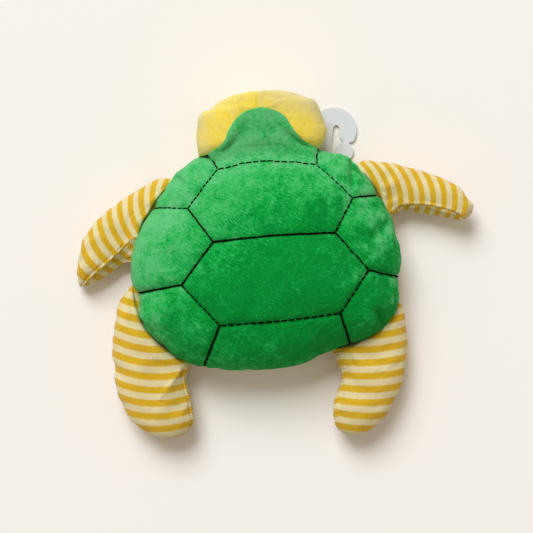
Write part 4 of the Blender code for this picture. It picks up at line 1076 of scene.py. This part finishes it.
# Stations along a stitch, close together where it dips in
BAR_STATIONS = np.array([0, 0.03, 0.09, 0.25, 0.5, 0.75, 0.91, 0.97, 1])
BAR_STEPS = len(BAR_STATIONS)
BAR_SIDES = 8
SWAY = 0.28
THREAD_LIFT = 0.35
NECK_LIFT = 1.2


def stitches(line, gap, radius, pitch):
    """Points of every stitch along a line: a bar that rises from the plush, carried round in small circles. The
    line sways a little to its sides, and each bar's ends and thickness differ a little."""
    places = corner_places(line)
    if line[-1][0] == "r":
        places[-1] = places[0] + 0.975 * (places[-1] - places[0])
    path = np.vstack([np.linspace(a, b, 80) for a, b in zip(places, places[1:])])
    rng = np.random.default_rng(int(abs(path).sum()))
    heading = (path[-1] - path[0]) / np.linalg.norm(path[-1] - path[0])
    along = np.linspace(0, 1, len(path))
    sway = np.interp(along, np.linspace(0, 1, 14), rng.uniform(-SWAY, SWAY, 14))
    sway *= np.minimum(1, 12 * along * (1 - along))
    path = path + sway[:, None] * np.array([-heading[1], heading[0]])
    surface, normal = on_shell(path)
    lifted = surface + (NECK_LIFT if line[-1] in ("r1", "r2") else THREAD_LIFT) * normal
    span = float(np.sum(np.linalg.norm(np.diff(lifted, axis=0), axis=1)))
    count = max(1, round(span / pitch))
    jitter = rng.uniform(-0.05, 0.05, (count, 2))
    begin = (np.arange(count) - 0.03 + gap / 2 + jitter[:, 0] * gap * 4) / count
    stop = (np.arange(count) + 1.03 - gap / 2 + jitter[:, 1] * gap * 4) / count
    fractions = np.clip(begin[:, None] + (stop - begin)[:, None] * BAR_STATIONS, 0, 1)
    centre = at_fractions(lifted, fractions.ravel()).reshape(count, BAR_STEPS, 3)
    body = np.clip(1 - (2 * BAR_STATIONS - 1) ** 16, 0.05, 1) ** 0.5
    ups = at_fractions(np.hstack([normal, lifted]), fractions.ravel())[:, :3].reshape(count, BAR_STEPS, 3)
    ups = ups / np.linalg.norm(ups, axis=-1)[..., None]
    centre += (radius * 0.7 * (body - 0.6))[:, None] * ups
    heading = centre[:, -1] - centre[:, 0]
    heading /= np.linalg.norm(heading, axis=1)[:, None]
    aside = np.cross(ups, heading[:, None, :])
    aside /= np.linalg.norm(aside, axis=-1)[..., None]
    turn = np.linspace(0, 2 * math.pi, BAR_SIDES, endpoint=False)
    ring = np.cos(turn)[:, None] * aside[:, :, None, :] + np.sin(turn)[:, None] * ups[:, :, None, :]
    return centre[:, :, None, :] + (radius * body * rng.uniform(0.88, 1.1, (count, 1)))[..., None, None] * ring


for run_name, lines in LINES.items():
    bars = np.concatenate([stitches(line, *LINE_LOOK[(line[0], line[-1])]) for line in lines])
    size = BAR_STEPS * BAR_SIDES
    quads = grid_quads(BAR_STEPS, BAR_SIDES, wrap=True)
    faces = (quads[None] + size * np.arange(len(bars))[:, None, None]).reshape(-1, 4).tolist()
    for first in range(0, len(bars) * size, size):
        faces.append(list(range(first, first + BAR_SIDES)))
        faces.append(list(range(first + size - BAR_SIDES, first + size)))
    thread = piece(run_name + "_stitches", bars, faces, [black_thread])
    face_outward(thread.data, MERGE / 10)
    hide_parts(STITCH_NODES.get(run_name, run_name + "_spoke_stitching"))
    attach(thread, "shell")


# Hang hook: a flat plate punched from pale grey plastic sheet, with an arch, a slot and a round lobe.
# A nylon tag pin through its eye ties it to the shell's edge, and it lies flat on the floor.
grey_plastic, tree, shader = surface_material("grey_plastic", 0.4, 0.4)
cloud = speckle(tree, object_place(tree), 260.0).outputs["Fac"]
tint = between_colours(tree, cloud, (0.67, 0.70, 0.73), (0.73, 0.755, 0.78))
tree.links.new(tint.outputs["Color"], shader.inputs["Base Color"])
emboss(tree, shader, cloud, 0.15, 0.0003)
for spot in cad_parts["hook_tag_pin"].material_slots:
    spot.material = grey_plastic
HOOK_PIN = (47.09, 74.49)
HOOK_TURN_DEG = -11.0
HOOK_LOW = 0.8
HOOK_THICK = 1.6
PIN_HOLE = 1.0
EDGE_BEVEL = 0.3


def arc(centre, radius, first, last, count):
    """Points round a centre at this radius, from the first angle to the last in degrees."""
    angle = np.radians(np.linspace(first, last, count))
    return np.array(centre) + radius * np.stack([np.cos(angle), np.sin(angle)], axis=1)


hook_outline = np.vstack([
    arc((0, 0), 4.5, 180, 345, 20), [(6.2, 2.2), (6.9, 5.5), (6.78, 21.45)], arc((9.05, 23.7), 2.3, 175, 0, 16),
    [(11.5, 21.0), (12.2, 17.9), (13.6, 15.7), (15.05, 14.6)], arc((17.04, 7.04), 6.8, 112, 428, 48),
    [(20.65, 14.56)], arc((7.52, 22.22), 16.9, -24, 200, 64), [(-6.5, 10.0), (-5.2, 3.0)]])
hook_hole = arc((0, 0), PIN_HOLE, 0, 345, 24)
flat = np.vstack([hook_outline, hook_hole])
turned = math.radians(HOOK_TURN_DEG)
flat = flat @ np.array([[math.cos(turned), math.sin(turned)], [-math.sin(turned), math.cos(turned)]]) + HOOK_PIN
outer, inner = np.arange(len(hook_outline)), len(hook_outline) + np.arange(len(hook_hole))
rings = np.vstack([np.stack([ring, np.roll(ring, -1)], axis=1) for ring in (outer, inner)])
hook_mesh = bpy.data.meshes.new("hang_hook_plate")
hook_mesh.from_pydata(np.column_stack([flat, np.full(len(flat), HOOK_LOW)]) * MM, rings.tolist(), [])
hook_mesh.materials.append(grey_plastic)
shape = bmesh.new()
shape.from_mesh(hook_mesh)
bmesh.ops.triangle_fill(shape, edges=shape.edges, use_beauty=True)
raised = bmesh.ops.extrude_face_region(shape, geom=shape.faces[:])["geom"]
raised = [item for item in raised if isinstance(item, bmesh.types.BMVert)]
bmesh.ops.translate(shape, verts=raised, vec=(0, 0, HOOK_THICK * MM))
bmesh.ops.recalc_face_normals(shape, faces=shape.faces)
shape.to_mesh(hook_mesh)
shape.free()
hook_plate = bpy.data.objects.new("hang_hook_plate", hook_mesh)
bpy.context.scene.collection.objects.link(hook_plate)
soft_edge = hook_plate.modifiers.new("soft_edge", "BEVEL")
soft_edge.width = EDGE_BEVEL * MM
soft_edge.segments = 2
soft_edge.limit_method = "ANGLE"
soft_edge.angle_limit = math.radians(50)
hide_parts("hang_hook")
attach(hook_plate, "hook")


# Eyes: shiny black domed buttons of moulded plastic, one sewn low on each cheek.
# Their thread pulls them in, so that they press into the pile.
black_plastic, tree, shader = surface_material("black_plastic", 0.12, 0.5)
smudge = speckle(tree, object_place(tree), 300.0).outputs["Fac"]
haze = add(tree, "MapRange", {"Value": smudge, "To Min": 0.08, "To Max": 0.22})
tree.links.new(haze.outputs[0], shader.inputs["Roughness"])
shader.inputs["Base Color"].default_value = (0.006, 0.006, 0.007, 1)
EYE_RADIUS = 4.2
EYE_RISE = 2.9
EYE_PRESS = 0.9
share, angle = square_disc(34, 1.0)
for name, side in (("left_eye", -1), ("right_eye", 1)):
    place = np.mean(np.array(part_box(name)), axis=0) / MM
    gap = np.linalg.norm(head_grid - place, axis=-1)
    row, column = np.unravel_index(np.argmin(gap), gap.shape)
    middle, facing = head_grid[row, column], grid_normals(head_grid)[row, column]
    facing = facing if facing @ (middle - head_grid.mean(axis=(0, 1))) > 0 else -facing
    aside = np.cross(facing, (0, 0, 1.0))
    aside /= np.linalg.norm(aside)
    upright = np.cross(aside, facing)
    dome = middle + (EYE_RADIUS * share * np.cos(angle))[..., None] * aside
    dome = dome + (EYE_RADIUS * share * np.sin(angle))[..., None] * upright
    dome = dome + (EYE_RISE * np.sqrt(np.clip(1 - share**2, 0, 1)) - EYE_PRESS)[..., None] * facing
    eye = closed_disc(name + "_button", dome, middle - 2.0 * facing, black_plastic)
    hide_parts(name)
    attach(eye, "head")
